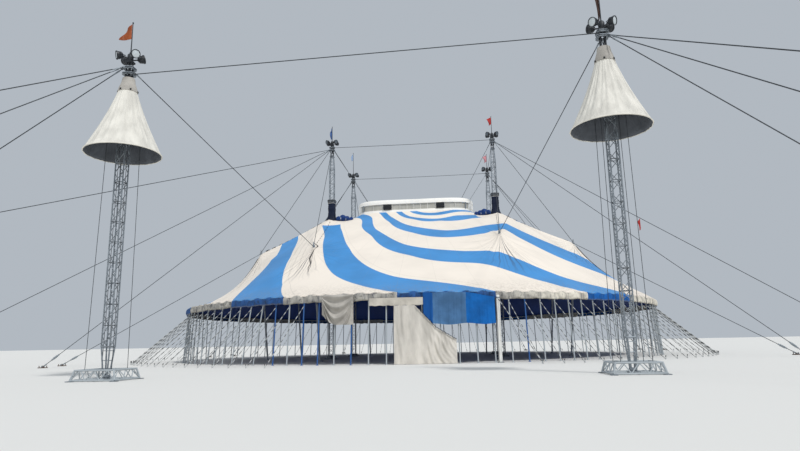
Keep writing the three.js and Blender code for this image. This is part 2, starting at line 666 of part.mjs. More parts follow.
function addEntranceCloth() {
  const level = (height) => () => height;
  addNode('entrance_swag', curtain(SWAG_SPAN, level(SWAG_TOP),
    (share) => SWAG_CORNER - (SWAG_CORNER - SWAG_BOTTOM) * Math.sin(Math.PI / 2 * Math.min(1, share / SWAG_ROUND))),
  'greyCloth');
  addNode('entrance_fascia', curtain(FASCIA_SPAN, level(FASCIA_TOP), level(FASCIA_BOTTOM)), 'greyCloth');
  const along = (span, share) => span[0] + share * (span[1] - span[0]);
  addNode('entrance_wall_wing', curtain(WING_SPAN, (share) => wingTop(along(WING_SPAN, share)), level(0)), 'greyCloth');
  addNode('entrance_blue_wall', curtain(BLUE_SPAN, level(BLUE_TOP),
    (share) => Math.max(BLUE_BOTTOM, wingTop(along(BLUE_SPAN, share)) + BLUE_ABOVE_WING)), 'blueCloth');
  const [postX, postY] = onEave(degreesAtX(POST_X), POST_WIDTH / 2 + GAP, 0);
  const post = new THREE.BoxGeometry(POST_WIDTH, POST_WIDTH, POST_HEIGHT);
  post.rotateZ(THREE.MathUtils.degToRad(POST_TURN));
  addNode('entrance_post', post, 'greyCloth', [postX, postY, POST_HEIGHT / 2]);
}

// Everything below the ground, for cutting leaning bars off level
function underground(x, y) {
  const size = 10;
  return block([x, y, -size / 2], [size, size, size]);
}

function poleGeometry(pole, anchor) {
  const shaft = bar(pole.foot, pole.top, POLE_WIDTH);
  const solids = [shaft.subtract(underground(pole.foot[0], pole.foot[1]))];
  solids.push(block([pole.foot[0], pole.foot[1], POLE_SHOE[2] / 2], POLE_SHOE));
  if (anchor) solids.push(...cableToGround(pole.neck, anchor));
  return toGeometry(join(solids));
}

function cableToGround(from, anchor) {
  const end = [anchor[0], anchor[1], ANCHOR_HEIGHT / 2];
  return [
    bar(from, end, CABLE_WIDTH, true),
    block(end, [ANCHOR_SIZE, ANCHOR_SIZE, ANCHOR_HEIGHT]),
  ];
}

// Collar round a lamp head's neck that the cables pull on
function stayRing(x, y, z) {
  const bore = NECK_WIDTH + 2 * GAP;
  const plate = block([x, y, z], [STAY_RING_WIDTH, STAY_RING_WIDTH, STAY_RING_HEIGHT]);
  return plate.subtract(block([x, y, z], [bore, bore, 1]));
}

// Cable from the middle of a ring's wall to a far point
const RING_WALL_MIDDLE = (NECK_WIDTH + STAY_RING_WIDTH) / 4;
function cableFromRing(x, y, z, far) {
  const share = RING_WALL_MIDDLE / Math.max(Math.abs(far[0] - x), Math.abs(far[1] - y));
  return bar([x + (far[0] - x) * share, y + (far[1] - y) * share, z], far, CABLE_WIDTH, true);
}

// Cable from a ring to a point on a pole, cut off a hair short of it
function cableToPole(x, y, z, pole, point) {
  return cableFromRing(x, y, z, point).subtract(bar(pole.foot, pole.clear, POLE_WIDTH + 2 * GAP));
}

function addMasts() {
  const mast = mastGeometry();
  const sleeve = sleeveGeometry();
  const ringHeight = MAST_LATTICE_TOP + STAY_RING_ABOVE_LATTICE;
  for (const signY of SIDES) {
    for (const signX of SIDES) {
      const place = `${signY < 0 ? 'front' : 'back'}_${signX < 0 ? 'left' : 'right'}`;
      const position = [signX * MAST_X, signY * MAST_Y, 0];
      addNode(`mast_${place}`, mast, 'steel', position);
      addNode(`mast_sleeve_${place}`, sleeve, 'navyCloth', position);
      addNode(`mast_head_${place}`, headGeometry(MAST_LATTICE_TOP, LAMP_HEIGHT, FLAG_POLE_TOPS[place]),
        'lamp', position);
      const [x, y] = position;
      const solids = [stayRing(x, y, ringHeight)];
      for (const anchor of STAY_ANCHORS[place]) {
        const end = [...anchor, ANCHOR_HEIGHT / 2];
        solids.push(cableFromRing(x, y, ringHeight, end));
        solids.push(block(end, [ANCHOR_SIZE, ANCHOR_SIZE, ANCHOR_HEIGHT]));
      }
      for (const pole of polesOf(signX, signY)) {
        solids.push(cableToPole(x, y, ringHeight, pole, pole.top));
      }
      const hoist = cableFromRing(x, y, ringHeight, [signX * HOIST_POINT[0], signY * HOIST_POINT[1], CUPOLA_TOP]);
      solids.push(hoist.subtract(block([0, 0, GAP], [2 * MAST_X, 2 * MAST_Y, 2 * CUPOLA_TOP])));
      addNode(`stays_${place}`, toGeometry(join(solids)), 'cable');
    }
  }
}

// Cables that tie the four mast heads together in a rectangle
function addTieCables() {
  const height = MAST_LATTICE_TOP + TIE_RING_ABOVE_LATTICE;
  const corners = [[-1, -1], [1, -1], [1, 1], [-1, 1]].map(([x, y]) => [x * MAST_X, y * MAST_Y]);
  const solids = corners.map(([x, y]) => stayRing(x, y, height));
  corners.forEach(([x, y], i) => {
    const [nextX, nextY] = corners[(i + 1) % 4];
    const end = [nextX - Math.sign(nextX - x) * RING_WALL_MIDDLE, nextY - Math.sign(nextY - y) * RING_WALL_MIDDLE];
    solids.push(cableFromRing(x, y, height, [...end, height]));
  });
  addNode('mast_tie_cables', toGeometry(join(solids)), 'cable');
}

function baseGeometry() {
  const half = BASE_WIDTH / 2 - BASE_BAR / 2;
  const topHalf = half - BASE_SPLAY;
  const corners = [[-1, -1], [1, -1], [1, 1], [-1, 1]];
  const low = BASE_BAR / 2;
  const high = BASE_HEIGHT - BASE_BAR / 2;
  const solids = [];
  corners.forEach(([x, y], i) => {
    const [nextX, nextY] = corners[(i + 1) % 4];
    const lowAt = (share) => [(x + (nextX - x) * share) * half, (y + (nextY - y) * share) * half, low];
    const highAt = (share) => [(x + (nextX - x) * share) * topHalf, (y + (nextY - y) * share) * topHalf, high];
    const lap = BASE_BAR / 2;
    const alongX = nextX !== x;
    const beam = (middle, halfLength) => block(middle, alongX
      ? [2 * halfLength + 2 * lap, BASE_BAR, BASE_BAR] : [BASE_BAR, 2 * halfLength + 2 * lap, BASE_BAR]);
    solids.push(beam(lowAt(0.5), half), beam(highAt(0.5), topHalf));
    solids.push(bar(lowAt(0), highAt(0), BASE_POST_WIDTH));
    for (const [from, to] of BASE_BRACE_SHARES) {
      solids.push(bar(lowAt(from), highAt(to), BASE_BRACE_WIDTH, true));
    }
  });
  solids.push(block([0, 0, low], [2 * half, BASE_BAR, BASE_BAR]));
  solids.push(block([0, 0, low], [BASE_BAR, 2 * half, BASE_BAR]));
  solids.push(block([0, 0, BASE_PLATE_HEIGHT / 2], [BASE_PLATE_WIDTH, BASE_PLATE_WIDTH, BASE_PLATE_HEIGHT]));
  return toGeometry(join(solids).subtract(underground(0, 0)));
}

// Lattice that comes down to a narrow foot
function coneMastGeometry() {
  const offset = (CONE_MAST_WIDTH - CHORD_WIDTH) / 2;
  const solids = latticeColumn(CONE_MAST_WIDTH, CONE_MAST_LATTICE_BOTTOM, CONE_MAST_LATTICE_TOP, CONE_MAST_BAYS);
  const footTop = BASE_PLATE_HEIGHT + GAP + CONE_FOOT_HEIGHT;
  for (const x of SIDES) {
    for (const y of SIDES) {
      solids.push(bar([x * CONE_LEG_SPREAD, y * CONE_LEG_SPREAD, footTop - CONE_LEG_LAP],
        [x * offset, y * offset, CONE_MAST_LATTICE_BOTTOM + CONE_LEG_LAP], CONE_LEG_WIDTH));
    }
  }
  solids.push(block([0, 0, (BASE_PLATE_HEIGHT + GAP + footTop) / 2], [CONE_FOOT_WIDTH, CONE_FOOT_WIDTH, CONE_FOOT_HEIGHT]));
  solids.push(block([0, 0, CONE_MAST_LATTICE_TOP - TOP_PLATE_THICKNESS / 2],
    [CONE_MAST_WIDTH, CONE_MAST_WIDTH, TOP_PLATE_THICKNESS]));
  return toGeometry(join(solids));
}

// Cone cap: a thin shell open below, with a collar that grips the neck
function coneCapGeometry() {
  const profile = [
    [CONE_RIM_RADIUS, CONE_RIM_HEIGHT],
    [CONE_SHOULDER_RADIUS, CONE_SHOULDER_HEIGHT],
    [CONE_COLLAR_RADIUS, CONE_COLLAR_TOP],
    [0, CONE_COLLAR_TOP],
    [0, CONE_COLLAR_TOP - CONE_WALL],
    [CONE_COLLAR_RADIUS - CONE_WALL, CONE_COLLAR_TOP - CONE_WALL],
    [CONE_SHOULDER_RADIUS - CONE_WALL, CONE_SHOULDER_HEIGHT],
    [CONE_RIM_RADIUS - CONE_WALL, CONE_RIM_HEIGHT],
    [CONE_RIM_RADIUS, CONE_RIM_HEIGHT],
  ].map(([radius, height]) => new THREE.Vector2(radius, height));
  const shell = new THREE.LatheGeometry(profile, CONE_SIDES);
  shell.rotateX(Math.PI / 2);
  let solid = toSolid(shell);
  const bore = NECK_WIDTH + 2 * GAP;
  solid = solid.subtract(block([0, 0, CONE_COLLAR_TOP], [bore, bore, 1]));
  return toGeometry(solid);
}

function addConeMasts() {
  const base = baseGeometry();
  const mast = coneMastGeometry();
  const cap = coneCapGeometry();
  const head = headGeometry(CONE_MAST_LATTICE_TOP, CONE_LAMP_HEIGHT, CONE_FLAG_POLE_TOP);
  for (const side of SIDES) {
    const name = side < 0 ? 'left' : 'right';
    const position = [side * CONE_MAST_X, CONE_MAST_Y, 0];
    addNode(`forecourt_base_${name}`, base, 'paleSteel', position);
    addNode(`forecourt_mast_${name}`, mast, 'steel', position);
    addNode(`cone_cap_${name}`, cap, 'coneCloth', position);
    addNode(`forecourt_head_${name}`, head, 'lamp', position);
    const [x, y] = position;
    const solids = [stayRing(x, y, CONE_STAY_RING)];
    for (const [anchorX, anchorY] of CONE_ANCHORS) {
      const end = [side * anchorX, anchorY, ANCHOR_HEIGHT / 2];
      solids.push(cableFromRing(x, y, CONE_STAY_RING, end));
      solids.push(block(end, [ANCHOR_SIZE, ANCHOR_SIZE, ANCHOR_HEIGHT]));
    }
    const innerPole = polesOf(side, -1)[1];
    solids.push(cableToPole(x, y, CONE_STAY_RING, innerPole, innerPole.neck));
    addNode(`forecourt_stays_${name}`, toGeometry(join(solids)), 'cable');
  }
  const ends = [[-CONE_MAST_X, CONE_TIE_RING_LEFT], [CONE_MAST_X, CONE_TIE_RING_RIGHT]];
  const ties = ends.map(([x, height]) => stayRing(x, CONE_MAST_Y, height));
  const [left, right] = ends;
  ties.push(cableFromRing(left[0], CONE_MAST_Y, left[1], [right[0] - RING_WALL_MIDDLE, CONE_MAST_Y, right[1]]));
  addNode('forecourt_tie_cable', toGeometry(join(ties)), 'cable');
}

function addQuarterParts() {
  for (const signY of SIDES) {
    for (const signX of SIDES) {
      const place = `${signY < 0 ? 'front' : 'back'}_${signX < 0 ? 'left' : 'right'}`;
      addNode(`roof_${place}`, roofQuarter(signX, signY), 'roofCloth');
      addNode(`side_poles_${place}`, sidePolesGeometry(signX, signY), 'paleSteel');
      for (const pole of polesOf(signX, signY)) {
        const outerAnchor = [signX * OUTER_POLE_ANCHOR[0], signY * OUTER_POLE_ANCHOR[1]];
        const innerAnchor = signY > 0 ? [signX * BACK_POLE_ANCHOR[0], BACK_POLE_ANCHOR[1]] : null;
        addNode(`quarter_pole_${place}_${pole.name}`,
          poleGeometry(pole, pole.name === 'outer' ? outerAnchor : innerAnchor), 'steel');
      }
    }
  }
}

addQuarterParts();
addMasts();
addTieCables();
addCupola();
addEntranceCloth();
addConeMasts();

group.scale.setScalar(MODEL_MM_PER_METRE);
group.position.y = CENTRE_SHIFT * MODEL_MM_PER_METRE;

export default group;
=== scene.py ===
"""Looks of a circus big top at one tenth of real size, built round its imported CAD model."""

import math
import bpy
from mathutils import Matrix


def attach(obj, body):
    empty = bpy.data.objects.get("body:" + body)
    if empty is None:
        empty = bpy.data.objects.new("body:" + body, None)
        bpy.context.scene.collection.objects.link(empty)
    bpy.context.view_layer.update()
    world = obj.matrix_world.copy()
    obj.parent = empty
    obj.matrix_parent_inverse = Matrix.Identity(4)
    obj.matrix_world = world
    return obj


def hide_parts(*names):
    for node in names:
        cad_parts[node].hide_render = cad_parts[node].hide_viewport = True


bl_info = {
    "name": "Circus Big Top",
    "version": (1, 0, 0),
    "blender": (4, 5, 0),
    "location": "3D View > Sidebar > Big Top",
    "description": "Builds a striped circus tent with its masts, stays, cupola and forecourt masts",
    "category": "Add Mesh",
}

import bmesh
import bpy
import numpy as np
from mathutils import Matrix, Vector

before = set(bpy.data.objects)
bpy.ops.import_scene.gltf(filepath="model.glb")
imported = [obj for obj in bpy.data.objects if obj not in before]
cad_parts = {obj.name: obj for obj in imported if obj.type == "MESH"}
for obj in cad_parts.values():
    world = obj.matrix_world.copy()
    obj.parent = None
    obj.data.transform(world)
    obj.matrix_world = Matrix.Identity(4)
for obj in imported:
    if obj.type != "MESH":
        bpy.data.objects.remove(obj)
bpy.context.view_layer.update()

# Lengths below are metres of the real tent unless a name says otherwise
MODEL_SCALE = 0.1
FORWARD_SHIFT = 16.75
SIDES = (-1, 1)
NAMED_SIDES = ((-1, "left"), (1, "right"))
CORNERS = [(x, y) for x in SIDES for y in SIDES]
SQUARE = ((-1, -1), (1, -1), (1, 1), (-1, 1))
PLACES = [(x, y, f"{end}_{side}") for y, end in ((-1, "front"), (1, "back")) for x, side in NAMED_SIDES]

# Camera of the photograph: place, lens in millimetres, and turns in degrees
CAMERA_PLACE = (4.907, -69.463, 1.508)
CAMERA_LENS = 26.594
CAMERA_SENSOR = 36.0
CAMERA_HEADING = -5.741
CAMERA_PITCH = 11.282
CAMERA_ROLL = 1.046

# Plan of the tent
EAVE_RADIUS = 25.5
EAVE_HEIGHT = 5.25
VALANCE_DEPTH = 0.62
MAST_X = 8.96
MAST_Y = 6.65
MAST_RADIUS = math.hypot(MAST_X, MAST_Y)
MAST_ANGLE = math.degrees(math.atan2(MAST_Y, MAST_X))
ROOF_AT_MAST = 15.34

# Quarter poles: radius of the tips and feet, plan angles and heights of the tips
POLE_RADIUS = 18.2
POLE_FOOT_RADIUS = 17.2
OUTER_POLE_ANGLE = 23.1
INNER_POLE_ANGLE = 61.8
OUTER_TIP = 11.59
INNER_TIP = 11.4
SLACK_INNER_TIP = 10.7
SLACK_QUARTER = 2

# Masts, sleeves and heads
MAST_WIDTH = 0.58
MAST_LATTICE_TOP = 22.3
FOOT_PLATE = 1.3
SLEEVE_BOTTOM = 14.55
SLEEVE_TOP = 16.95
SKIRT_TOP = 15.75
LAMP_HEIGHT = 23.93
FLAG_POLE_TOPS = {"front_left": 25.9, "front_right": 26.1, "back_left": 27.1, "back_right": 26.0}
STAY_RING = 23.05
TIE_RING = 23.35
RING_REACH = 0.24
TAPER = 1.5
NECK_HALF = 0.15
LAMP_SPREAD = (0.43, 0.33)
LAMP_RADIUS = 0.24
LAMP_LENGTH = 0.34
LAMP_RISES = {-1: -12, 1: 20}
STAY_FLAG_SHARE = 0.47

# Flags by place: cloth, drop, width, start of the folds, and plan angle
FLAGS = {
    "front_left": ("blue_flag_nylon", 1.3, 0.3, 1.2, 160),
    "front_right": ("red_flag_nylon", 0.8, 0.7, 2.0, 200),
    "back_left": ("pale_flag_nylon", 0.9, 0.35, 0.3, 200),
    "back_right": ("pink_flag_nylon", 0.9, 0.8, 2.6, 190),
    "left": ("rust_flag_nylon", 0.9, 0.75, -1.5, 205),
    "right": ("brown_flag_nylon", 1.5, 0.22, 1.5, 180),
    "stay": ("red_flag_nylon", 0.95, 0.3, 0.7, 200),
}

# Cupola
CUPOLA_HALF_LENGTH = 6.7
CUPOLA_HALF_DEPTH = 4.85
CUPOLA_SQUARENESS = 5
CUPOLA_SEAT = 16.05
CUPOLA_BASE_BOTTOM = 15.9
CUPOLA_BASE_TOP = 16.3
CUPOLA_BAND_TOP = 16.95
CUPOLA_TOP = 17.45
BAND_INSET = 0.12
CUPOLA_END = 31
CUPOLA_CROWN = 0.16
HOIST_POINT = (5.4, 3.8)
HOIST_HEIGHT = 17.385
BOX_OFFSET = 3
BOX_SIZE = (0.9, 0.2, 0.55)
BOX_BOTTOM = 16.36

# Side poles and straps
SIDE_POLE_STEP = 3
SIDE_POLE_TOP = 5.07
SIDE_POLE_TOP_RADIUS = 25.35
SIDE_POLE_FOOT_RADIUS = 25.65
STRAP_TOP = 4.5
STRAP_FOOT_RADIUS = 30.4
ENTRANCE_SPAN = (-6.2, 8.2)
BLUE_SIDE_POLES = (82, 84, 85, 87, 97)
SLANTED_SIDE_POLES = range(60, 82)
SLANT = 0.72

# Entrance cloths as spans across the front and heights
SWAG_SPAN = (-5.6, -3.13)
SWAG_TOP = 5.2
SWAG_BOTTOM = 2.95
SWAG_CORNER = 3.75
SWAG_ROUND = 0.5
FASCIA_SPAN = (-1.92, 2.08)
FASCIA_TOP = 4.85
FASCIA_BOTTOM = 4.28
WING_SPAN = (-0.08, 4.43)
WING_EDGE = ((1.46, 4.27), (2.98, 2.61), (4.43, 1.72))
BLUE_SPAN = (2.1, 7.35)
BLUE_TOP = 5.2
BLUE_BOTTOM = 2.85
BLUE_SEAMS = (2.8, 5.25)
BLUE_FINISHES = ("deep_blue_wall_cloth", "dusty_blue_wall_cloth", "blue_wall_cloth")
POST_X = 7.6
POST_WIDTH = 0.22
POST_TURN = 17.6
POST_HEIGHT = 4.95

# Forecourt masts
CONE_MAST_X = 12.4
CONE_MAST_Y = -41.5
CONE_MAST_WIDTH = 0.52
CONE_LATTICE_BOTTOM = 1.6
CONE_LATTICE_TOP = 14.6
CONE_LAMP_HEIGHT = 16.95
CONE_FLAG_POLE_TOP = 19.05
CONE_STAY_RING = 16.28
CONE_TIE_RINGS = (15.95, 16.52)
CONE_POINTS = 168
CONE_RIM_RADIUS = 1.93
CONE_RIM_HEIGHT = 11.43
CONE_SHOULDER_RADIUS = 0.47
CONE_SHOULDER_HEIGHT = 14.93
CONE_COLLAR_RADIUS = 0.31
CONE_COLLAR_TOP = 15.7
HALYARD_RADIUS = 0.8
BASE_WIDTH = 2.3
BASE_HEIGHT = 0.56
BASE_SPLAY = 0.12

# Ground anchors as plan positions
STAY_ANCHORS = {
    "front_left": ((-35, -32), (-30.5, -21.5), (-35, -58.2)),
    "front_right": ((35, -24.3), (30.5, -21.5)),
    "back_left": ((-35, 32), (-30.5, 21.5)),
    "back_right": ((35, 32), (30.5, 21.5)),
}
OUTER_POLE_ANCHOR = (32.3, 16.5)
BACK_POLE_ANCHOR = (15.2, 31.5)
CONE_ANCHORS = ((26.5, -65.5), (27.5, -57), (26, -50))
ANCHOR_HEIGHT = 0.2
ROPE_FINISHES = ("weathered_wire_rope", "galvanised_steel", "rusty_stake_steel")

# Spiral stripes. The arms start every 36 degrees at the eave, a share of a half arm late
# at each spoke, and each next border lies this far from the centre along the spoke
STRIPE_START = 236
STRIPE_HALF_ARM = 18
STRIPE_SPOKES = (210, 230, 250, 270, 290, 310, 330, 350, 370)
STRIPE_RADII = (
    (17.4, 18.3, 20.8, 22.2, 20.9, 23.3, 21.4, 20.3, 18.6),
    (15.1, 14.7, 16.3, 17.7, 18.2, 17.6, 17.2, 16.9, 16.1),
    (12.9, 12.2, 12.6, 15.0, 15.0, 13.6, 13.2, 13.9, 13.7),
    (10.3, 9.3, 10.8, 11.8, 12.3, 10.2, 10.3, 10.9, 10.9),
    (8.7, 7.6, 8.2, 9.4, 8.8, 7.9, 8.1, 8.8, 9.1),
    (7.4, 6.5, 6.8, 7.3, 7.8, 7.0, 7.1, 7.5, 7.7),
    (6.2, 5.6, 5.7, 6.5, 6.7, 6.1, 6.2, 6.5, 6.5),
)
STRIPE_EAVE = (0, -0.02, 0.1, 0.09, 0, 0.14, 0.16, 0.05, 0)
STRIPE_MIDDLE = (0.8, 0.44, 0.4, 0.49, 0.5, 0.5, 0.5, 0.5, 0.5)
BLUE_SHARE = 0.42
MAST_PATCH = 2.1
CLOTH_SHEEN = {"Specular IOR Level": 0.18, "IOR": 1.5}

# Plan points of the dark tube that comes down the roof at the front left: lacing in part, and in part painted
# shade of an open slit in the cloth
LACING_AND_SLIT_SHADE = (
    (-9.0, -14.6), (-8.3, -15.6), (-8.5, -16.3), (-8.7, -17.1), (-8.45, -17.7), (-8.5, -18.4), (-8.3, -19.1))


def linear(code):
    """Linear colour of an sRGB hex code."""
    channels = [int(code[i:i + 2], 16) / 255 for i in (1, 3, 5)]
    return tuple(c / 12.92 if c <= 0.04045 else ((c + 0.055) / 1.055) ** 2.4 for c in channels)


def size_property(label, description, default):
    """Length in metres of the real tent, as a field of the panel."""
    return bpy.props.FloatProperty(name=label, description=description, default=default, unit="LENGTH")


def colour_property(label, description, code):
    """Surface colour, as a field of the panel."""
    return bpy.props.FloatVectorProperty(
        name=label, description=description, default=linear(code), size=3, subtype="COLOR", min=0, max=1)


class TentSizes(bpy.types.PropertyGroup):
    """Sizes that change the looks but not the frame."""

    cloth: size_property("Cloth thickness", "Thickness of every hung cloth", 0.04)
    tip_peak: size_property("Tip peak", "How far the cloth stays below each quarter pole tip", 0.15)
    ridge_sag: size_property("Ridge sag", "Sag of the belts between mast and quarter pole", 0.22)
    outer_ridge_sag: size_property("Outer ridge sag", "Sag of the ridge between pole and eave", 1.2)
    slack_ridge_sag: size_property("Slack ridge sag", "Sag of the outer ridges at the slack front left", 2.2)
    belly: size_property("Belly", "Depth of the slack cloth between the front left ridges", 0.85)
    pucker: size_property("Eave pucker", "Rise of the cloth between the eave ties", 0.07)
    bay: size_property("Lattice bay", "Height of one bay of the mast lattices", 0.56)
    chord: size_property("Chord diameter", "Diameter of the mast chords", 0.085)
    brace: size_property("Brace diameter", "Diameter of the mast braces", 0.042)
    cable: size_property("Cable diameter", "Diameter of the wire rope stays", 0.05)
    strap: size_property("Strap width", "Width of the ground straps", 0.05)
    side_pole: size_property("Side pole diameter", "Diameter of the poles under the eave", 0.1)
    quarter_pole: size_property("Quarter pole diameter", "Diameter of the leaning poles", 0.19)


class TentColours(bpy.types.PropertyGroup):
    """Colours of the cloth and the metalwork."""

    white: colour_property("White cloth", "Pale part of the roof", "#f2e7d9")
    blue: colour_property("Blue stripe", "Blue arms of the roof", "#3f8fd0")
    # Painted shade: the valance blue is a darker copy of the roof's blue for the shade under the eave
    shaded_valance_blue: colour_property("Valance blue", "Blue stretches of the valance", "#1560ae")
    navy: colour_property("Navy lining", "Underside of the roof", "#1f3f86")
    cream: colour_property("Cream canvas", "Pale stretches of the valance", "#e6dfcf")
    grey: colour_property("Grey cloth", "Loose cloth of the entrance", "#cdc6ba")
    steel: colour_property("Galvanised steel", "Lattice masts", "#8d949a")
    paint: colour_property("Grey paint", "Side poles and bases", "#a6adb1")
    lamp: colour_property("Lamp paint", "Lamp heads", "#23272d")


def to_model(points):
    """Points of the real tent as points of the model's frame."""
    return (np.asarray(points, float).reshape(-1, 3) + (0, FORWARD_SHIFT, 0)) * MODEL_SCALE


def polar(radius, degrees, height):
    """Point at a plan radius, a plan angle and a height."""
    angle = math.radians(degrees)
    return (radius * math.cos(angle), radius * math.sin(angle), height)


def ring_points(radius, angle, z, x=0.0, y=0.0):
    """Points at plan radii and plan angles in radians about a plan position."""
    return np.stack(np.broadcast_arrays(x + radius * np.cos(angle), y + radius * np.sin(angle), z), axis=-1)


class Form:
    """Vertices and faces of one piece as it is put together, in metres of the real tent."""

    def __init__(self):
        self.vertices = []
        self.faces = []
        self.finishes = []
        self.map = []

    def add(self, vertices, faces, finish=0, corners=None):
        """Adds a closed shape, with the map coordinates of its faces' corners."""
        first = len(self.vertices)
        self.vertices.extend([tuple(v) for v in np.asarray(vertices, float)])
        self.faces.extend([[first + i for i in face] for face in faces])
        self.finishes.extend([finish] * len(faces) if np.isscalar(finish) else list(finish))
        self.map.extend(corners if corners is not None else [[(0.0, 0.0)] * len(face) for face in faces])

    def tube(self, points, radius, sides=8, finish=0, flat=None):
        """Adds a round bar along points. radius may differ at each point, and flat squeezes it."""
        path = np.asarray(points, float)
        radii = np.broadcast_to(radius, len(path))
        heading = np.gradient(path, axis=0)
        heading /= np.linalg.norm(heading, axis=1)[:, None]
        side = np.cross(heading[0], (0, 0, 1) if abs(heading[0][2]) < 0.95 else (1, 0, 0))
        runs = np.concatenate([[0], np.cumsum(np.linalg.norm(np.diff(path, axis=0), axis=1))])
        turns = np.linspace(0, 2 * math.pi, sides, endpoint=False)
        rings = []
        for place, ahead, size in zip(path, heading, radii):
            side = side - ahead * side.dot(ahead)
            side /= np.linalg.norm(side)
            other = np.cross(ahead, side) * (flat or 1)
            rings.append(place + size * (np.cos(turns)[:, None] * side + np.sin(turns)[:, None] * other))
        corners = [[(0.0, 0.0)] * sides] * 2
        for low, high in zip(runs, runs[1:]):
            for i in range(sides):
                left, right = i / sides, (i + 1) / sides
                corners.append([(left, low), (right, low), (right, high), (left, high)])
        self.loft(rings, finish, False, corners)

    def lathe(self, profile, sides, base, axis=(0, 0, 1), finish=0):
        """Adds a turned shape. profile runs from the axis to the axis as (radius, height)."""
        turns = np.linspace(0, 2 * math.pi, sides, endpoint=False)
        up = Vector(axis).normalized()
        turn = np.array(up.to_track_quat("Z", "Y").to_matrix())
        points = []
        rows = []
        for radius, height in profile:
            count = 1 if radius < 1e-6 else sides
            rows.append([len(points) + i for i in range(count)])
            points.extend([(radius * math.cos(t), radius * math.sin(t), height) for t in turns[:count]])
        faces = []
        for low, high in zip(rows, rows[1:]):
            for i in range(sides):
                j = (i + 1) % sides
                if len(low) == 1 and len(high) > 1:
                    faces.append([low[0], high[j], high[i]])
                elif len(high) == 1 and len(low) > 1:
                    faces.append([low[i], low[j], high[0]])
                elif len(low) > 1:
                    faces.append([low[i], low[j], high[j], high[i]])
        self.add(np.array(points) @ turn.T + np.array(base, float), faces, finish)

    def box(self, centre, size, turn=0.0, finish=0, bevel=0.0):
        """Adds a block turned about the vertical, with its upright and level edges bevelled."""
        half = np.array(size, float) / 2
        cut = min(bevel, half.min() * 0.9)
        levels = [(-half[2], cut), (-half[2] + cut, 0), (half[2] - cut, 0), (half[2], cut)]
        if cut <= 0:
            levels = [(-half[2], 0), (half[2], 0)]
        cos, sin = math.cos(math.radians(turn)), math.sin(math.radians(turn))
        spin = np.array([[cos, -sin, 0], [sin, cos, 0], [0, 0, 1]])
        rings = []
        for z, inset in levels:
            x, y = half[0] - inset, half[1] - inset
            c = max(cut - inset, 0) * 0.6
            outline = [(x - c, -y), (x, -y + c), (x, y - c), (x - c, y),
                       (-x + c, y), (-x, y - c), (-x, -y + c), (-x + c, -y)]
            if cut <= 0:
                outline = [(x, -y), (x, y), (-x, y), (-x, -y)]
            rings.append(np.array([(px, py, z) for px, py in outline]) @ spin.T + np.array(centre, float))
        self.loft(rings, finish)

    def loft(self, rings, finish=0, closed=False, corners=None):
        """Joins rings of points into one shape. closed joins the last ring to the first as well."""
        count = len(rings[0])
        pairs = list(zip(range(len(rings) - 1), range(1, len(rings))))
        faces = []
        if closed:
            pairs.append((len(rings) - 1, 0))
        else:
            faces += [list(range(count))[::-1], [(len(rings) - 1) * count + i for i in range(count)]]
        for low, high in pairs:
            for i in range(count):
                j = (i + 1) % count
                faces.append([low * count + i, low * count + j, high * count + j, high * count + i])
        self.add(np.concatenate(rings), faces, finish, corners)

    def cloth(self, outer, inner, loop=False, finish=(0, 0), grid=None, open_cells=None):
        """Adds a closed thin cloth from two grids of points, and maps it by the grid's coordinates."""
        columns, rows = outer.shape[:2]
        faces = []
        corners = []
        for i in range(columns if loop else columns - 1):
            for k in range(rows - 1):
                if open_cells is not None and open_cells[i, k]:
                    continue
                j = (i + 1) % columns
                cell = [i * rows + k, i * rows + k + 1, j * rows + k + 1, j * rows + k]
                spots = [tuple(grid[i + a, k + b]) for a, b in ((0, 0), (0, 1), (1, 1), (1, 0))]
                for pick in ((0, 1, 2), (0, 2, 3)):
                    faces.append([cell[n] for n in pick])
                    corners.append([spots[n] for n in pick])
        start = columns * rows
        edges = {}
        for face, spots in zip(faces, corners):
            for n in range(3):
                edges[face[n], face[(n + 1) % 3]] = (spots[n], spots[(n + 1) % 3])
        walls = []
        wall_corners = []
        for (a, b), (spot_a, spot_b) in edges.items():
            if (b, a) not in edges:
                walls.append([b, a, a + start, b + start])
                wall_corners.append([spot_b, spot_a, spot_a, spot_b])
        backs = [[v + start for v in face[::-1]] for face in faces]
        self.add(np.concatenate([outer.reshape(-1, 3), inner.reshape(-1, 3)]), faces + backs + walls,
                 [finish[0]] * len(faces) + [finish[1]] * len(backs) + [finish[0]] * len(walls),
                 corners + [c[::-1] for c in corners] + wall_corners)

    def piece(self, name, finishes, slot, sharp=40):
        """Makes the object: places it in the model's frame, maps it, and lets it ride."""
        mesh = bpy.data.meshes.new(name)
        mesh.from_pydata(to_model(self.vertices).tolist(), [], self.faces)
        for finish in finishes:
            mesh.materials.append(finish_named(finish))
        mesh.polygons.foreach_set("material_index", self.finishes)
        layer = mesh.uv_layers.new(name="cloth")
        layer.data.foreach_set("uv", [c for face in self.map for spot in face for c in spot])
        mesh.shade_smooth()
        mesh.set_sharp_from_angle(angle=math.radians(sharp))
        used = set(v for face in self.faces for v in face)
        if len(used) < len(self.vertices):
            drop_loose_points(mesh)
        return settle(bpy.data.objects.new(name, mesh))


def drop_loose_points(mesh):
    """Removes the points that no face uses, as inside an opening."""
    form = bmesh.new()
    form.from_mesh(mesh)
    bmesh.ops.delete(form, geom=[v for v in form.verts if not v.link_faces], context="VERTS")
    form.to_mesh(mesh)
    form.free()


def settle(piece):
    """Puts a finished piece in the scene, on the tent's one body."""
    if piece.name not in bpy.context.scene.collection.objects:
        bpy.context.scene.collection.objects.link(piece)
    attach(piece, "root")
    return piece


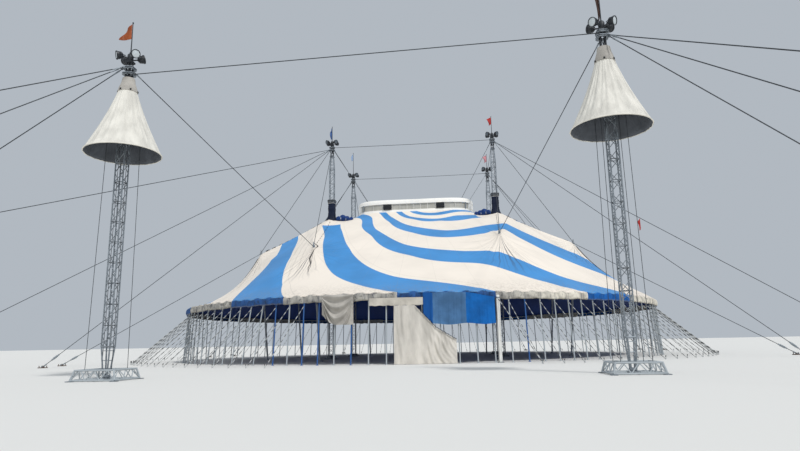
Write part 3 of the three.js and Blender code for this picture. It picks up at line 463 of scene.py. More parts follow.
class Link:
    """Output of a node, which sums can be done on as on a number."""

    def __init__(self, tree, socket):
        self.tree = tree
        self.socket = socket

    def sum(self, operation, *values):
        """Result of one sum on this link and other links or numbers."""
        return value_of(self.tree, "ShaderNodeMath", dict(enumerate((self, *values))), operation=operation)

    def __add__(self, other):
        return self.sum("ADD", other)

    def __radd__(self, other):
        return self.sum("ADD", other)

    def __sub__(self, other):
        return self.sum("SUBTRACT", other)

    def __mul__(self, other):
        return self.sum("MULTIPLY", other)


def fill_sockets(tree, node, sockets):
    """Gives a node's sockets their values or links."""
    for key, value in sockets.items():
        if isinstance(value, Link):
            tree.links.new(value.socket, node.inputs[key])
        else:
            node.inputs[key].default_value = value


def add_node(tree, kind, sockets=None, **settings):
    """Adds a node with its settings, and fills its sockets."""
    made = tree.nodes.new(kind)
    for key, value in settings.items():
        setattr(made, key, value)
    fill_sockets(tree, made, sockets or {})
    return made


def value_of(tree, kind, sockets=None, output=0, **settings):
    """One output of a new node."""
    return Link(tree, add_node(tree, kind, sockets, **settings).outputs[output])


def split(link):
    """X, Y and Z of a vector."""
    made = add_node(link.tree, "ShaderNodeSeparateXYZ", {0: link})
    return [Link(link.tree, part) for part in made.outputs]


def place_of(tree):
    """X, Y and Z of each place on the model, from the object's own coordinates."""
    return split(value_of(tree, "ShaderNodeTexCoord", output="Object"))


def map_of(tree):
    """The two map coordinates of each place on a cloth or bar."""
    return split(value_of(tree, "ShaderNodeUVMap", uv_map="cloth"))[:2]


def place_noise(tree, millimetres, detail=3.0, rise=1.0):
    """Mottle with features of this size on the model, drawn out upwards where rise is small."""
    spot = value_of(tree, "ShaderNodeTexCoord", output="Object")
    if rise != 1.0:
        spot = value_of(tree, "ShaderNodeVectorMath", {0: spot, 1: (1.0, 1.0, rise)}, operation="MULTIPLY")
    return value_of(tree, "ShaderNodeTexNoise", {
        "Vector": spot, "Scale": 1000 / millimetres, "Detail": detail}, "Fac")


def line_noise(along, scale, detail):
    """Mottle that changes along one value only."""
    return value_of(along.tree, "ShaderNodeTexNoise", {
        "W": along, "Scale": scale, "Detail": detail}, "Fac", noise_dimensions="1D")


def ramp_between(value, low, high, start=0.0, end=1.0):
    """Value taken from one range to another and held at its ends."""
    return value_of(value.tree, "ShaderNodeMapRange", {
        "Value": value, "From Min": low, "From Max": high, "To Min": start, "To Max": end},
        "Result", interpolation_type="SMOOTHSTEP")


def mixed(share, first, second):
    """Colour between two colours or colour links."""
    made = add_node(share.tree, "ShaderNodeMix", {"Factor": share}, data_type="RGBA")
    keys = [key for key, socket in enumerate(made.inputs) if socket.type == "RGBA"]
    fill_sockets(share.tree, made, dict(zip(keys, (first, second))))
    return Link(share.tree, next(s for s in made.outputs if s.type == "RGBA"))


def tone(code, share=1.0):
    """Linear colour, with its alpha, of a panel field or an sRGB hex code, darker or lighter by a share."""
    colour = linear(code) if code.startswith("#") else getattr(bpy.context.scene.tent_colours, code)
    return (*(min(c * share, 1) for c in colour), 1)


def set_surface(colour, roughness, relief, millimetres, strength, others=None):
    """Sets the material's colour, its roughness, its relief of this depth on the model, and other sockets."""
    tree = relief.tree
    bump = value_of(tree, "ShaderNodeBump", {
        "Strength": strength, "Distance": millimetres / 1000, "Height": relief})
    fill_sockets(tree, tree.nodes["Principled BSDF"], {
        "Base Color": colour, "Roughness": roughness, "Normal": bump, **(others or {})})


def away_from(across, along, x, y):
    """Distance and turn of each place on the plan from one point."""
    dx, dy = across - x, along - y
    return (dx * dx + dy * dy).sum("SQRT"), dy.sum("ARCTAN2", dx)


def striped_tent_cloth(tree):
    """PVC coated polyester, printed in stripes and welded from gores.

    The eye gets a soft plastic sheen, fine welds down the gores and along the stripes, creases that fan from
    the pole tips with dark slits of painted shade, dark lines of painted shade in the tension creases at the
    slack front left, and greyer cloth towards the eave, partly dirt and partly painted shade.
    """
    arms, radius = map_of(tree)
    x, y, _ = place_of(tree)
    forward = y - FORWARD_SHIFT * MODEL_SCALE
    across, along = x.sum("ABSOLUTE"), forward.sum("ABSOLUTE")
    beside, _ = away_from(across, along, MAST_X * MODEL_SCALE, MAST_Y * MODEL_SCALE)
    is_blue = (arms * 0.5).sum("FRACT").sum("LESS_THAN", BLUE_SHARE)
    is_blue = is_blue * beside.sum("GREATER_THAN", MAST_PATCH * MODEL_SCALE)
    mottle = place_noise(tree, 260, 4)
    white = mixed(ramp_between(mottle, 0.35, 0.75), tone("white"), tone("white", 0.93))
    blue = mixed(ramp_between(mottle, 0.3, 0.7), tone("blue"), tone("blue", 0.86))
    spoke = forward.sum("ARCTAN2", x)
    gore = (spoke * (24 / math.pi)).sum("PINGPONG", 0.5)
    seam = (gore * radius.sum("MAXIMUM", 4.0)).sum("LESS_THAN", 0.18)
    weld = arms.sum("PINGPONG", 0.5).sum("LESS_THAN", 0.008)
    lines = (seam * 0.3).sum("MAXIMUM", weld * 0.5)
    # Painted shade: dark lines of the tension creases in the slack white cloth at the front left; from here
    # lines holds the seams and this painted shade
    pull = x.sum("DIVIDE", 0.64 * MODEL_SCALE).sum("PINGPONG", 0.5).sum("LESS_THAN", 0.1)
    slack = ramp_between(x, -1.28, -1.2) * ramp_between(x, -0.9, -0.95)
    slack = slack * (ramp_between(forward, -2.1, -1.7) * ramp_between(forward, -0.85, -1.0))
    lines = lines + pull * (slack * (is_blue * -1.0 + 1.0)) * 0.6
    seamed_and_crease_shaded = mixed(lines * 0.35, mixed(is_blue, white, blue), tone("grey", 0.45))
    # Towards the eave the cloth is mottled browner, partly dirt and partly painted shade of the eave; dusty
    # holds that mix
    soil_and_shade = ramp_between(radius, 22.5, 25.6) * ramp_between(place_noise(tree, 18, 2), 0.35, 0.7)
    dusty = mixed(soil_and_shade * 0.3, seamed_and_crease_shaded, tone("#8d7f6c"))
    folds = 0.0
    dark = 0.0
    for degrees in (OUTER_POLE_ANGLE, INNER_POLE_ANGLE):
        tip_x, tip_y, _ = polar(POLE_RADIUS * MODEL_SCALE, degrees, 0)
        distance, turn = away_from(across, along, tip_x, tip_y)
        folds = folds + line_noise(turn * 3.0, 1.7, 3.0) * ramp_between(distance, 0.02, 0.62, 1.0, 0.0)
        # Painted shade: dark slits in the creases that fan beside each pole tip, summed into dark
        slit_shade = ramp_between(line_noise(turn * 3.0 + mottle * 1.2, 3.4, 1.0), 0.54, 0.62)
        slit_shade = slit_shade * ramp_between(distance, 0.1, 0.5, 1.0, 0.0)
        outside = ramp_between(turn, 0.5, 0.8, 0.15, 1.0) * ramp_between(turn, 1.7, 2.0, 1.0, 0.15)
        dark = dark + slit_shade * outside
    pole_crease_shaded = mixed(dark * 0.7, dusty, tone("#333a48"))
    hem = line_noise(spoke, 70.0, 3.0) * ramp_between(radius, 23.6, 25.5)
    relief = folds + hem * 0.7 + (mottle * 0.35 + lines * 0.08)
    set_surface(pole_crease_shaded, 0.5, relief, 14, 0.5, {"IOR": 1.5})


def striped_valance_cloth(tree):
    """PVC coated polyester of the hanging edge, in the stripes of the roof but deeper in colour: its blue is
    a deeper copy of the roof's blue, which is painted shade under the eave.

    It hangs in the dust of the ring of poles, so it is duller than the roof, with a grimy lower hem.
    Its folds and the pockets at every tie are painted darker, which is painted shade.
    """
    arms, drop = map_of(tree)
    x, y, _ = place_of(tree)
    folds = place_noise(tree, 1000 / 55, 3.0, 0.3)
    turn = (y - FORWARD_SHIFT * MODEL_SCALE).sum("ARCTAN2", x) * (60 / math.pi)
    # Painted shade: dark pockets at every tie and dark folds, mixed towards dark navy below
    tie = ramp_between(turn.sum("PINGPONG", 0.5), 0.42, 0.49)
    dirt = ramp_between(place_noise(tree, 55, 4), 0.35, 0.7)
    pale = mixed(dirt, tone("cream"), tone("grey", 0.7))
    blue = mixed(dirt, tone("shaded_valance_blue"), tone("shaded_valance_blue", 0.6))
    striped = mixed((arms * 0.5).sum("FRACT").sum("LESS_THAN", BLUE_SHARE), pale, blue)
    # Painted shade: towards the left end the valance is painted darker, with dark crumple lines; the mask
    # worn here is this painted shade, not wear
    worn = ramp_between(x, 0.75, 1.3, 1.0, 0.0)
    crumple_shade = ramp_between(place_noise(tree, 30, 2), 0.56, 0.66)
    striped = mixed(worn * 0.45, striped, tone("#3a4556"))
    striped = mixed(worn * (crumple_shade * 0.5), striped, tone("#22262e"))
    hemmed = mixed(ramp_between(drop, 0.8, 0.92) * 0.35, striped, tone("#8d8677"))
    shadow = (tie * 0.7).sum("MAXIMUM", ramp_between(folds, 0.56, 0.72))
    folded = mixed(shadow * 0.5, hemmed, tone("#20304a"))
    set_surface(folded, 0.6, folds, 12, 0.9, CLOTH_SHEEN)


def tent_cloth(tree, code, roughness, crumple, depth, soil_and_shade, rise=1.0):
    """Coated cloth of one colour, woven and then coated, so folds catch a dull sheen.

    crumple is the size of its creases on the model in millimetres, and the cloth gets
    uneven patches where weather and handling have soiled it. Its creases are painted darker too,
    which is painted shade. A small rise draws the creases out upwards, as on cloth that hangs.
    """
    patches = place_noise(tree, crumple * 3, 4, rise)
    creases = place_noise(tree, crumple, 5, rise)
    uneven = mixed(ramp_between(patches, 0.3, 0.7), tone(code), tone(code, 1 - soil_and_shade))
    # Painted shade: the cloth is darkened along its creases
    crease_shaded = mixed(ramp_between(creases, 0.55, 0.8) * soil_and_shade, uneven, tone(code, 0.55))
    weave = place_noise(tree, 5, 2)
    set_surface(crease_shaded, roughness, creases + weave * 0.12, depth, 0.7, CLOTH_SHEEN)


def galvanised_steel(tree, code):
    """Hot-dip galvanised steel tube, drawn and dipped: a dull grey with a patchy zinc bloom.

    The bloom is about 20 mm on the tent and is drawn three times as coarse to show.
    """
    bloom = place_noise(tree, 6, 3)
    stain = place_noise(tree, 90, 4)
    grey = mixed(ramp_between(bloom, 0.35, 0.65), tone(code, 0.78), tone(code, 1.15))
    worn = mixed(ramp_between(stain, 0.55, 0.8) * 0.45, grey, tone("#5f5a54"))
    set_surface(worn, ramp_between(bloom, 0.3, 0.7, 0.42, 0.62), bloom, 0.3, 0.4, {"Metallic": 0.75})


def painted_steel(tree, code, roughness=0.45, wear="#6a625a"):
    """Steel with sprayed enamel: smooth and slightly glossy, chipped and dusty in patches."""
    chips = place_noise(tree, 9, 4)
    dust = place_noise(tree, 70, 3)
    dusty = mixed(ramp_between(dust, 0.4, 0.75) * 0.3, tone(code), tone(code, 0.7))
    worn = mixed(ramp_between(chips, 0.68, 0.72, 0.0, 0.7), dusty, tone(wear))
    set_surface(worn, ramp_between(dust, 0.3, 0.7, roughness, roughness + 0.2), chips, 0.25, 0.3)


def wire_rope(tree, code):
    """Laid wire rope: dark weathered strands that wind round it and glint along one side, painted lighter on
    their crowns and darker in the grooves between them, which is painted highlight and painted shade.

    Its strands lie about 15 mm apart on the tent and are drawn twice as coarse to show.
    """
    round_it, along = map_of(tree)
    strand = (round_it * 6.0 + along * 12.0).sum("PINGPONG", 0.5)
    # Painted highlight and painted shade: light strand crowns and dark grooves between the strands
    steel = mixed(ramp_between(strand, 0.05, 0.4), tone(code, 0.45), tone(code, 1.2))
    weathered = mixed(place_noise(tree, 120, 3) * 0.5, steel, tone("#3a3633"))
    set_surface(weathered, 0.5, strand, 0.8, 0.6, {"Metallic": 0.6})


def strap_webbing(tree, code):
    """Woven polyester strap with a chain of dark ties, so it reads as light and dark dashes."""
    _, _, height = place_of(tree)
    dash = (height * 26.0).sum("FRACT")
    dashed = mixed(ramp_between(dash, 0.48, 0.54), tone(code), tone(code, 0.2))
    set_surface(dashed, 0.75, place_noise(tree, 2, 2), 0.4, 0.5)


def lamp_glass(tree, code):
    """Pressed floodlight glass over a silvered dish: smooth, bluish, and dark where the dish is unlit, which
    is painted shade.
    """
    ribs = place_noise(tree, 4, 2)
    set_surface(mixed(ribs, tone(code, 0.5), tone(code)), 0.12, ribs, 0.5, 0.4, {"Coat Weight": 0.6})


def mesh_band(tree, code):
    """Grey ventilation mesh of the cupola, knitted and coated, with upright battens behind it."""
    x, y, _ = place_of(tree)
    batten = ((x + y) * 14.0).sum("PINGPONG", 0.5)
    blotched = mixed(ramp_between(place_noise(tree, 80, 3), 0.3, 0.7), tone(code), tone(code, 0.8))
    ribbed = mixed(ramp_between(batten, 0.44, 0.5, 0.0, 0.35), blotched, tone(code, 0.45))
    set_surface(ribbed, 0.7, place_noise(tree, 6, 2) + batten, 1.5, 0.4)


def pale_floor(tree, code):
    """Plain pale painted studio floor."""
    fill_sockets(tree, tree.nodes["Principled BSDF"], {"Base Color": tone(code), "Roughness": 0.85})


# What each material is made of, its colour, and how it differs from its like
FINISHES = {
    "striped_pvc_tent_cloth": (striped_tent_cloth,),
    "striped_valance_cloth": (striped_valance_cloth,),
    "navy_pvc_lining": (tent_cloth, "navy", 0.65, 120, 6, 0.3),
    "navy_sleeve_cloth": (tent_cloth, "#141d33", 0.6, 20, 3, 0.25),
    "blue_tied_cloth": (tent_cloth, "#1c3f7d", 0.6, 14, 4, 0.4),
    "white_cupola_cloth": (tent_cloth, "#f8f5ee", 0.5, 70, 3, 0.08),
    "grey_entrance_cloth": (tent_cloth, "grey", 0.7, 30, 6, 0.25),
    "pale_wing_cloth": (tent_cloth, "#dad4ca", 0.65, 26, 9, 0.28, 0.35),
    "shaded_swag_cloth": (tent_cloth, "#b9b4ac", 0.7, 30, 6, 0.3),
    "pale_hem_canvas": (tent_cloth, "#efeade", 0.7, 20, 3, 0.15),
    "deep_blue_wall_cloth": (tent_cloth, "#11569f", 0.55, 35, 8, 0.35, 0.3),
    "blue_wall_cloth": (tent_cloth, "#0e66b4", 0.5, 35, 10, 0.3),
    "dusty_blue_wall_cloth": (tent_cloth, "#507ba8", 0.65, 45, 8, 0.4),
    "cream_cone_canvas": (tent_cloth, "#e6e2d8", 0.75, 13, 6, 0.2, 0.06),
    "dark_cone_lining": (tent_cloth, "#63676d", 0.8, 30, 4, 0.3),
    "red_flag_nylon": (tent_cloth, "#b83a36", 0.5, 12, 3, 0.3),
    "blue_flag_nylon": (tent_cloth, "#44659c", 0.5, 12, 3, 0.5),
    "pink_flag_nylon": (tent_cloth, "#cf8f96", 0.5, 12, 3, 0.3),
    "pale_flag_nylon": (tent_cloth, "#9fb6d6", 0.5, 12, 3, 0.3),
    "brown_flag_nylon": (tent_cloth, "#4b342c", 0.5, 12, 3, 0.35),
    "rust_flag_nylon": (tent_cloth, "#a3542f", 0.5, 12, 3, 0.35),
    "galvanised_steel": (galvanised_steel, "steel"),
    "grey_enamelled_steel": (painted_steel, "paint"),
    "white_enamelled_steel": (painted_steel, "#e4e3de"),
    "blue_enamelled_steel": (painted_steel, "#285a99"),
    "black_lamp_enamel": (painted_steel, "lamp", 0.4, "#4d4a46"),
    "black_box_enamel": (painted_steel, "#101114", 0.4, "#38363a"),
    "rusty_stake_steel": (painted_steel, "#5b4a3f", 0.7, "#7d563d"),
    "weathered_wire_rope": (wire_rope, "#4b5157"),
    "dark_lacing_rope": (wire_rope, "#272b35"),
    "strap_webbing": (strap_webbing, "#b7b9b8"),
    # Painted reflection and painted shade: the pale glass stands for a lit silvered dish behind it, the dark
    # glass for a dish in shade
    "floodlight_glass": (lamp_glass, "#dfe7ea"),
    "unlit_floodlight_glass": (lamp_glass, "#59646e"),
    "grey_vent_mesh": (mesh_band, "#b9b6ac"),
    "pale_studio_floor": (pale_floor, "#e3e1dc"),
}


def finish_named(name):
    """Material of this name, made when it is first asked for."""
    made = bpy.data.materials.get(name)
    if not made:
        made = bpy.data.materials.new(name)
        made.use_nodes = True
        maker, *values = FINISHES[name]
        maker(made.node_tree, *values)
    return made


# Steps of the cloth net between its stations, as in the CAD net, and how much finer it is here
OUTER_STEPS = 3
RIDGE_STEPS = 4
INNER_STEPS = 4
MAST_RINGS = 3
EAVE_RINGS = 4
NET_FINENESS = 7
FORM_SWEEPS = 700
OVER_RELAXATION = 1.92


def net_spokes():
    """Plan angles of the net's spokes, closest together at the masts and poles."""
    stations = (
        (0, OUTER_POLE_ANGLE, OUTER_STEPS),
        (OUTER_POLE_ANGLE, MAST_ANGLE, RIDGE_STEPS),
        (MAST_ANGLE, INNER_POLE_ANGLE, RIDGE_STEPS),
        (INNER_POLE_ANGLE, 90, INNER_STEPS),
    )
    quarter = [0.0]
    for start, end, steps in stations:
        quarter.extend(np.linspace(start, end, steps * NET_FINENESS + 1)[1:])
    quarter = np.array(quarter)
    half = np.concatenate([quarter, 180 - quarter[-2::-1]])
    return np.concatenate([half[:-1], half[:-1] + 180])


def cupola_radius(degrees):
    """Plan radius of the cupola's rounded oblong outline."""
    angle = np.radians(degrees)
    n = CUPOLA_SQUARENESS
    return ((np.abs(np.cos(angle)) / CUPOLA_HALF_LENGTH) ** n
            + (np.abs(np.sin(angle)) / CUPOLA_HALF_DEPTH) ** n) ** (-1 / n)


def net_radii(degrees):
    """Radii of the net's rings on every spoke, from the cupola to the eave."""
    start = cupola_radius(degrees)[:, None]
    shares = [np.linspace(0, 1, steps * NET_FINENESS + 1) for steps in (MAST_RINGS, RIDGE_STEPS, EAVE_RINGS)]
    whole = np.ones((len(degrees), 1))
    return np.concatenate([
        start + (MAST_RADIUS - start) * shares[0],
        whole * (MAST_RADIUS + (POLE_RADIUS - MAST_RADIUS) * shares[1][1:]),
        whole * (POLE_RADIUS + (EAVE_RADIUS - POLE_RADIUS) * shares[2][1:]),
    ], axis=1)


def held_heights(shape, sizes):
    """Heights where masts, poles, belts, cupola and eave hold the cloth, and NaN elsewhere."""
    spokes, rings = shape
    held = np.full(shape, np.nan)
    held[:, 0] = CUPOLA_SEAT
    held[:, -1] = EAVE_HEIGHT
    quarter = spokes // 4
    mast = (OUTER_STEPS + RIDGE_STEPS) * NET_FINENESS
    ridge = RIDGE_STEPS * NET_FINENESS
    mast_ring = MAST_RINGS * NET_FINENESS
    pole_ring = mast_ring + ridge
    for q in range(4):
        slack = q == SLACK_QUARTER
        outer_sag = sizes.slack_ridge_sag if slack else sizes.outer_ridge_sag
        inner_tip = SLACK_INNER_TIP if slack else INNER_TIP
        mirrored = q % 2 == 1
        for towards, tip, sag in ((-1, OUTER_TIP, outer_sag), (1, inner_tip, sizes.outer_ridge_sag)):
            peak = tip - sizes.tip_peak
            for i in range(ridge + 1):
                spoke = mast + towards * i
                column = (q * quarter + (quarter - spoke if mirrored else spoke)) % spokes
                share = i / ridge
                chord = ROOF_AT_MAST + (peak - ROOF_AT_MAST) * share
                held[column, mast_ring + i] = chord - sizes.ridge_sag * 4 * share * (1 - share)
            for i in range(1, rings - pole_ring - 1):
                share = i / (rings - 1 - pole_ring)
                chord = peak + (EAVE_HEIGHT - peak) * share
                held[column, pole_ring + i] = chord - sag * 4 * share * (1 - share) ** 1.5
    return held


def form_heights(degrees, radii, held):
    """Lets the free cloth come to rest at the weighed mean of its neighbours."""
    gap = np.radians(np.diff(np.append(degrees, degrees[0] + 360)))[:, None]
    after = radii * gap
    before = radii * np.roll(gap, 1, axis=0)
    inward = radii[:, 1:-1] - radii[:, :-2]
    outward = radii[:, 2:] - radii[:, 1:-1]
    middle = radii[:, 1:-1]
    hoop = (before + after)[:, 1:-1] / 2
    radial = (inward + outward) / 2
    weights = [radial / before[:, 1:-1], radial / after[:, 1:-1],
               hoop / inward * (middle - inward / 2) / middle,
               hoop / outward * (middle + outward / 2) / middle]
    total = sum(weights)
    share = np.linspace(0, 1, radii.shape[1])
    heights = CUPOLA_SEAT + (EAVE_HEIGHT - CUPOLA_SEAT) * share * np.ones_like(radii)
    fixed = ~np.isnan(held)
    heights[fixed] = held[fixed]
    spokes, rings = np.indices(heights.shape)
    free = ~fixed[:, 1:-1]
    turns = [free & ((spokes + rings)[:, 1:-1] % 2 == parity) for parity in (0, 1)]
    for _ in range(FORM_SWEEPS):
        for chosen in turns:
            rest = (weights[0] * np.roll(heights, 1, axis=0)[:, 1:-1]
                    + weights[1] * np.roll(heights, -1, axis=0)[:, 1:-1]
                    + weights[2] * heights[:, :-2] + weights[3] * heights[:, 2:]) / total
            inside = heights[:, 1:-1]
            inside[chosen] += OVER_RELAXATION * (rest - inside)[chosen]
    return heights


def smooth_between(rows, places):
    """Smooth curve through evenly spaced rows, read at fractional places; the rows repeat in a ring."""
    low = np.floor(places).astype(int)
    share = (places - low)[:, None]
    before, start, end, after = (rows[(low + k) % len(rows)] for k in (-1, 0, 1, 2))
    return start + share / 2 * (end - before + share * (
        2 * before - 5 * start + 4 * end - after + share * (3 * (start - end) + after - before)))


def stripe_phase(degrees, radii):
    """How many half arms lie before each point: the stripe is blue from an even count to the next."""
    degrees = np.asarray(degrees)
    step = STRIPE_SPOKES[1] - STRIPE_SPOKES[0]
    table = np.vstack([STRIPE_EAVE, STRIPE_MIDDLE, STRIPE_RADII]).T
    borders = smooth_between(table, (degrees - STRIPE_SPOKES[0]) % 180 / step)
    phase = np.empty_like(radii)
    for i, (late, middle, *border) in enumerate(borders):
        known = [EAVE_RADIUS, (EAVE_RADIUS + border[0]) / 2, *border, border[-1] - 3]
        value = [late, late + (1 - late) * middle, *range(1, len(border) + 1), len(border) + 3]
        phase[i] = np.interp(radii[i], known[::-1], value[::-1])
    return phase + ((degrees - STRIPE_START) / STRIPE_HALF_ARM)[:, None]


def slack_belly(degrees, radii, sizes):
    """How far the slack cloth beside the front left outer pole sinks below its neighbours."""
    beyond = np.asarray(degrees) - 180 - OUTER_POLE_ANGLE
    side = np.clip(beyond / 8, 0, 1) * np.cos(np.clip((beyond - 8) / 26, 0, 1) * math.pi / 2) ** 2
    side += 0.6 * np.clip(-beyond / 3, 0, 1) * np.cos(np.clip((-beyond - 3) / 17, 0, 1) * math.pi / 2) ** 2
    run = np.clip((radii - POLE_RADIUS) / (EAVE_RADIUS - POLE_RADIUS), 0, 1)
    return sizes.belly * side[:, None] * np.sin(math.pi * run) ** 0.7


def eave_pucker(degrees, sizes):
    """Rise and fall of the eave between the ties, which sit at the side poles."""
    tie = (np.asarray(degrees) / SIDE_POLE_STEP) % 1 - 0.5
    ripple = 0.25 * np.sin(np.radians(degrees) * 37) + 0.2 * np.sin(np.radians(degrees) * 83 + 1)
    return sizes.pucker * (np.cos(2 * math.pi * tie) * -0.5 + ripple)


def cut_openings(degrees, radii):
    """Cells of the net that lie inside the mast sleeves."""
    middle = np.radians(degrees + np.diff(np.append(degrees, degrees[0] + 360)) / 2)
    ring = (radii[:, :-1] + radii[:, 1:]) / 2
    x = np.abs(ring * np.cos(middle)[:, None])
    y = np.abs(ring * np.sin(middle)[:, None])
    half = MAST_WIDTH / 2
    return (np.abs(x - MAST_X) < half) & (np.abs(y - MAST_Y) < half)


def pole_folds(x, y):
    """Folds of the cloth that fan down from every quarter pole tip."""
    rise = np.zeros_like(x)
    for sign_x, sign_y, _ in PLACES:
        for degrees, strength in ((OUTER_POLE_ANGLE, 0.03), (INNER_POLE_ANGLE, 0.05)):
            px, py, _ = polar(POLE_RADIUS, degrees, 0)
            dx, dy = x - sign_x * px, y - sign_y * py
            distance = np.hypot(dx, dy)
            turn = np.arctan2(dy, dx)
            fan = np.cos(9 * turn + 2 * sign_x) + 0.6 * np.cos(14 * turn + sign_y)
            rise += strength * fan * np.clip(distance / 0.8, 0, 1) * np.exp(-((distance / 3.0) ** 2))
    return rise


class TENT_OT_canopy(bpy.types.Operator):
    """Roof of one continuous striped cloth with a navy lining, held by masts, poles and belts"""

    bl_idname = "tent.canopy"
    bl_label = "Canopy"

    def execute(self, context):
        sizes = context.scene.tent_sizes
        degrees = net_spokes()
        radii = net_radii(degrees)
        heights = form_heights(degrees, radii, held_heights(radii.shape, sizes))
        angle = np.radians(degrees)[:, None]
        x, y = radii * np.cos(angle), radii * np.sin(angle)
        near_eave = np.clip((radii - (EAVE_RADIUS - 1.6)) / 1.6, 0, 1) ** 2
        heights = heights + pole_folds(x, y) + eave_pucker(degrees, sizes)[:, None] * near_eave
        heights = heights - slack_belly(degrees, radii, sizes)
        outer = np.stack([x, y, heights], axis=2)
        inner = outer - (0, 0, sizes.cloth)
        phase = stripe_phase(np.append(degrees, degrees[0] + 360), np.vstack([radii, radii[:1]]))
        grid = np.stack([phase, np.vstack([radii, radii[:1]])], axis=2)
        form = Form()
        form.cloth(outer, inner, True, (0, 1), grid, cut_openings(degrees, radii))
        roof = form.piece("canopy", ["striped_pvc_tent_cloth", "navy_pvc_lining"],
                          "roof_fabric", 75)
        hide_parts(*[f"roof_{place}" for _, _, place in PLACES])
        return {"FINISHED"}


class TENT_OT_stage(bpy.types.Operator):
    """Pale floor, soft light and the photograph's camera"""

    bl_idname = "tent.stage"
    bl_label = "Stage and camera"

    def execute(self, context):
        scene = context.scene
        floor = bpy.data.meshes.new("floor")
        reach = 400.0
        floor.from_pydata([(-reach, -reach, 0), (reach, -reach, 0), (reach, reach, 0), (-reach, reach, 0)],
                          [], [(0, 1, 2, 3)])
        floor.materials.append(finish_named("pale_studio_floor"))
        stage = bpy.data.objects.new("floor", floor)
        scene.collection.objects.link(stage)
        world = bpy.data.worlds.new("soft_daylight")
        world.use_nodes = True
        sky = world.node_tree.nodes["Background"]
        sky.inputs["Color"].default_value = tone("#dfe8f2")
        sky.inputs["Strength"].default_value = 0.6
        scene.world = world
        scene.view_settings.view_transform = "Standard"
        for name, turn, strength, softness in (
                ("key_light", (40, 6, 34), 2.0, 6), ("fill_light", (64, 0, -50), 0.45, 60)):
            light = bpy.data.lights.new(name, "SUN")
            light.energy = strength
            light.angle = math.radians(softness)
            lamp = bpy.data.objects.new(name, light)
            lamp.rotation_euler = [math.radians(t) for t in turn]
            scene.collection.objects.link(lamp)
        camera = bpy.data.cameras.new("camera")
        camera.lens = CAMERA_LENS
        camera.sensor_width = CAMERA_SENSOR
        camera.clip_end = 1000
        eye = bpy.data.objects.new("camera", camera)
        turned = (Matrix.Rotation(math.radians(-CAMERA_HEADING), 4, "Z")
                  @ Matrix.Rotation(math.radians(CAMERA_PITCH), 4, "X")
                  @ Matrix.Rotation(math.radians(CAMERA_ROLL), 4, "Y")
                  @ Matrix.Rotation(math.radians(90), 4, "X"))
        eye.matrix_world = Matrix.Translation(Vector(to_model([CAMERA_PLACE])[0])) @ turned
        scene.collection.objects.link(eye)
        scene.camera = eye
        return {"FINISHED"}


def cut_size(grid):
    """Mean lengths of a cloth along its two ways, in metres of the model."""
    ways = [np.linalg.norm(np.diff(grid, axis=way), axis=2).sum(axis=way).mean() for way in (0, 1)]
    return tuple(float(length) * MODEL_SCALE for length in ways)


def cut_area(grid):
    """Area of a cloth in square metres of the model, for one that isn't cut square."""
    sides = np.diff(grid, axis=0)[:, :-1]
    drops = np.diff(grid, axis=1)[:-1]
    return float(np.linalg.norm(np.cross(sides, drops), axis=2).sum()) * MODEL_SCALE ** 2


class TENT_OT_valance(bpy.types.Operator):
    """Gathered strip that hangs from the eave all round, tied in at every side pole"""

    bl_idname = "tent.valance"
    bl_label = "Valance"

    def execute(self, context):
        sizes = context.scene.tent_sizes
        degrees = np.arange(0, 360, 0.375)
        drops = np.linspace(0, 1, 8)
        between = np.cos(math.pi * ((degrees / SIDE_POLE_STEP) % 1)) ** 2
        wave = np.sin(np.radians(degrees) * 211) + 0.9 * np.sin(np.radians(degrees) * 157 + 1)
        wave = wave * np.where((degrees > 290) & (degrees < 360), 0.45, 1.15)
        top = EAVE_HEIGHT + 0.02 + eave_pucker(degrees, sizes)
        depth = VALANCE_DEPTH * (0.9 + 0.1 * between) + 0.015 * wave
        bulge = 0.1 * between + 0.022 * wave
        angle = np.radians(degrees)[:, None]
        radius = EAVE_RADIUS - 0.02 + bulge[:, None] * np.sin(math.pi * drops) ** 0.6
        radius = radius + 0.035 * wave[:, None] * drops
        height = top[:, None] - depth[:, None] * drops
        outer = ring_points(radius, angle, height)
        inner = ring_points(radius - sizes.cloth, angle, height)
        around = np.append(degrees, 360.0)
        phase = stripe_phase(around, np.full((len(around), 1), EAVE_RADIUS))
        grid = np.stack([np.repeat(phase, len(drops), axis=1), np.tile(drops, (len(around), 1))], axis=2)
        form = Form()
        form.cloth(outer, inner, True, grid=grid)
        valance = form.piece("valance", ["striped_valance_cloth"], "roof_fabric", 75)
        return {"FINISHED"}


def new_group(name, inputs):
    """Geometry node tree with inputs of these kinds, and its inputs as links."""
    tree = bpy.data.node_groups.new(name, "GeometryNodeTree")
    tree.interface.new_socket(name="Geometry", in_out="OUTPUT", socket_type="NodeSocketGeometry")
    for kind, names in inputs.items():
        for socket in names:
            tree.interface.new_socket(name=socket, in_out="INPUT", socket_type=f"NodeSocket{kind}")
    return tree, {s.name: Link(tree, s) for s in tree.nodes.new("NodeGroupInput").outputs}


def end_group(shape, finish):
    """Ends a node tree with its shape realized and its material set."""
    whole = value_of(shape.tree, "GeometryNodeRealizeInstances", {0: shape})
    finished = value_of(shape.tree, "GeometryNodeSetMaterial", {"Geometry": whole, "Material": finish})
    add_node(shape.tree, "NodeGroupOutput", {0: finished})
    return shape.tree


def vector(tree, x=0.0, y=0.0, z=0.0):
    """Vector of three values or links."""
    return value_of(tree, "ShaderNodeCombineXYZ", {0: x, 1: y, 2: z})


def joined(*shapes):
    """Shapes as one."""
    made = shapes[0].tree.nodes.new("GeometryNodeJoinGeometry")
    for shape in reversed(shapes):
        made.id_data.links.new(shape.socket, made.inputs[0])
    return Link(shapes[0].tree, made.outputs[0])


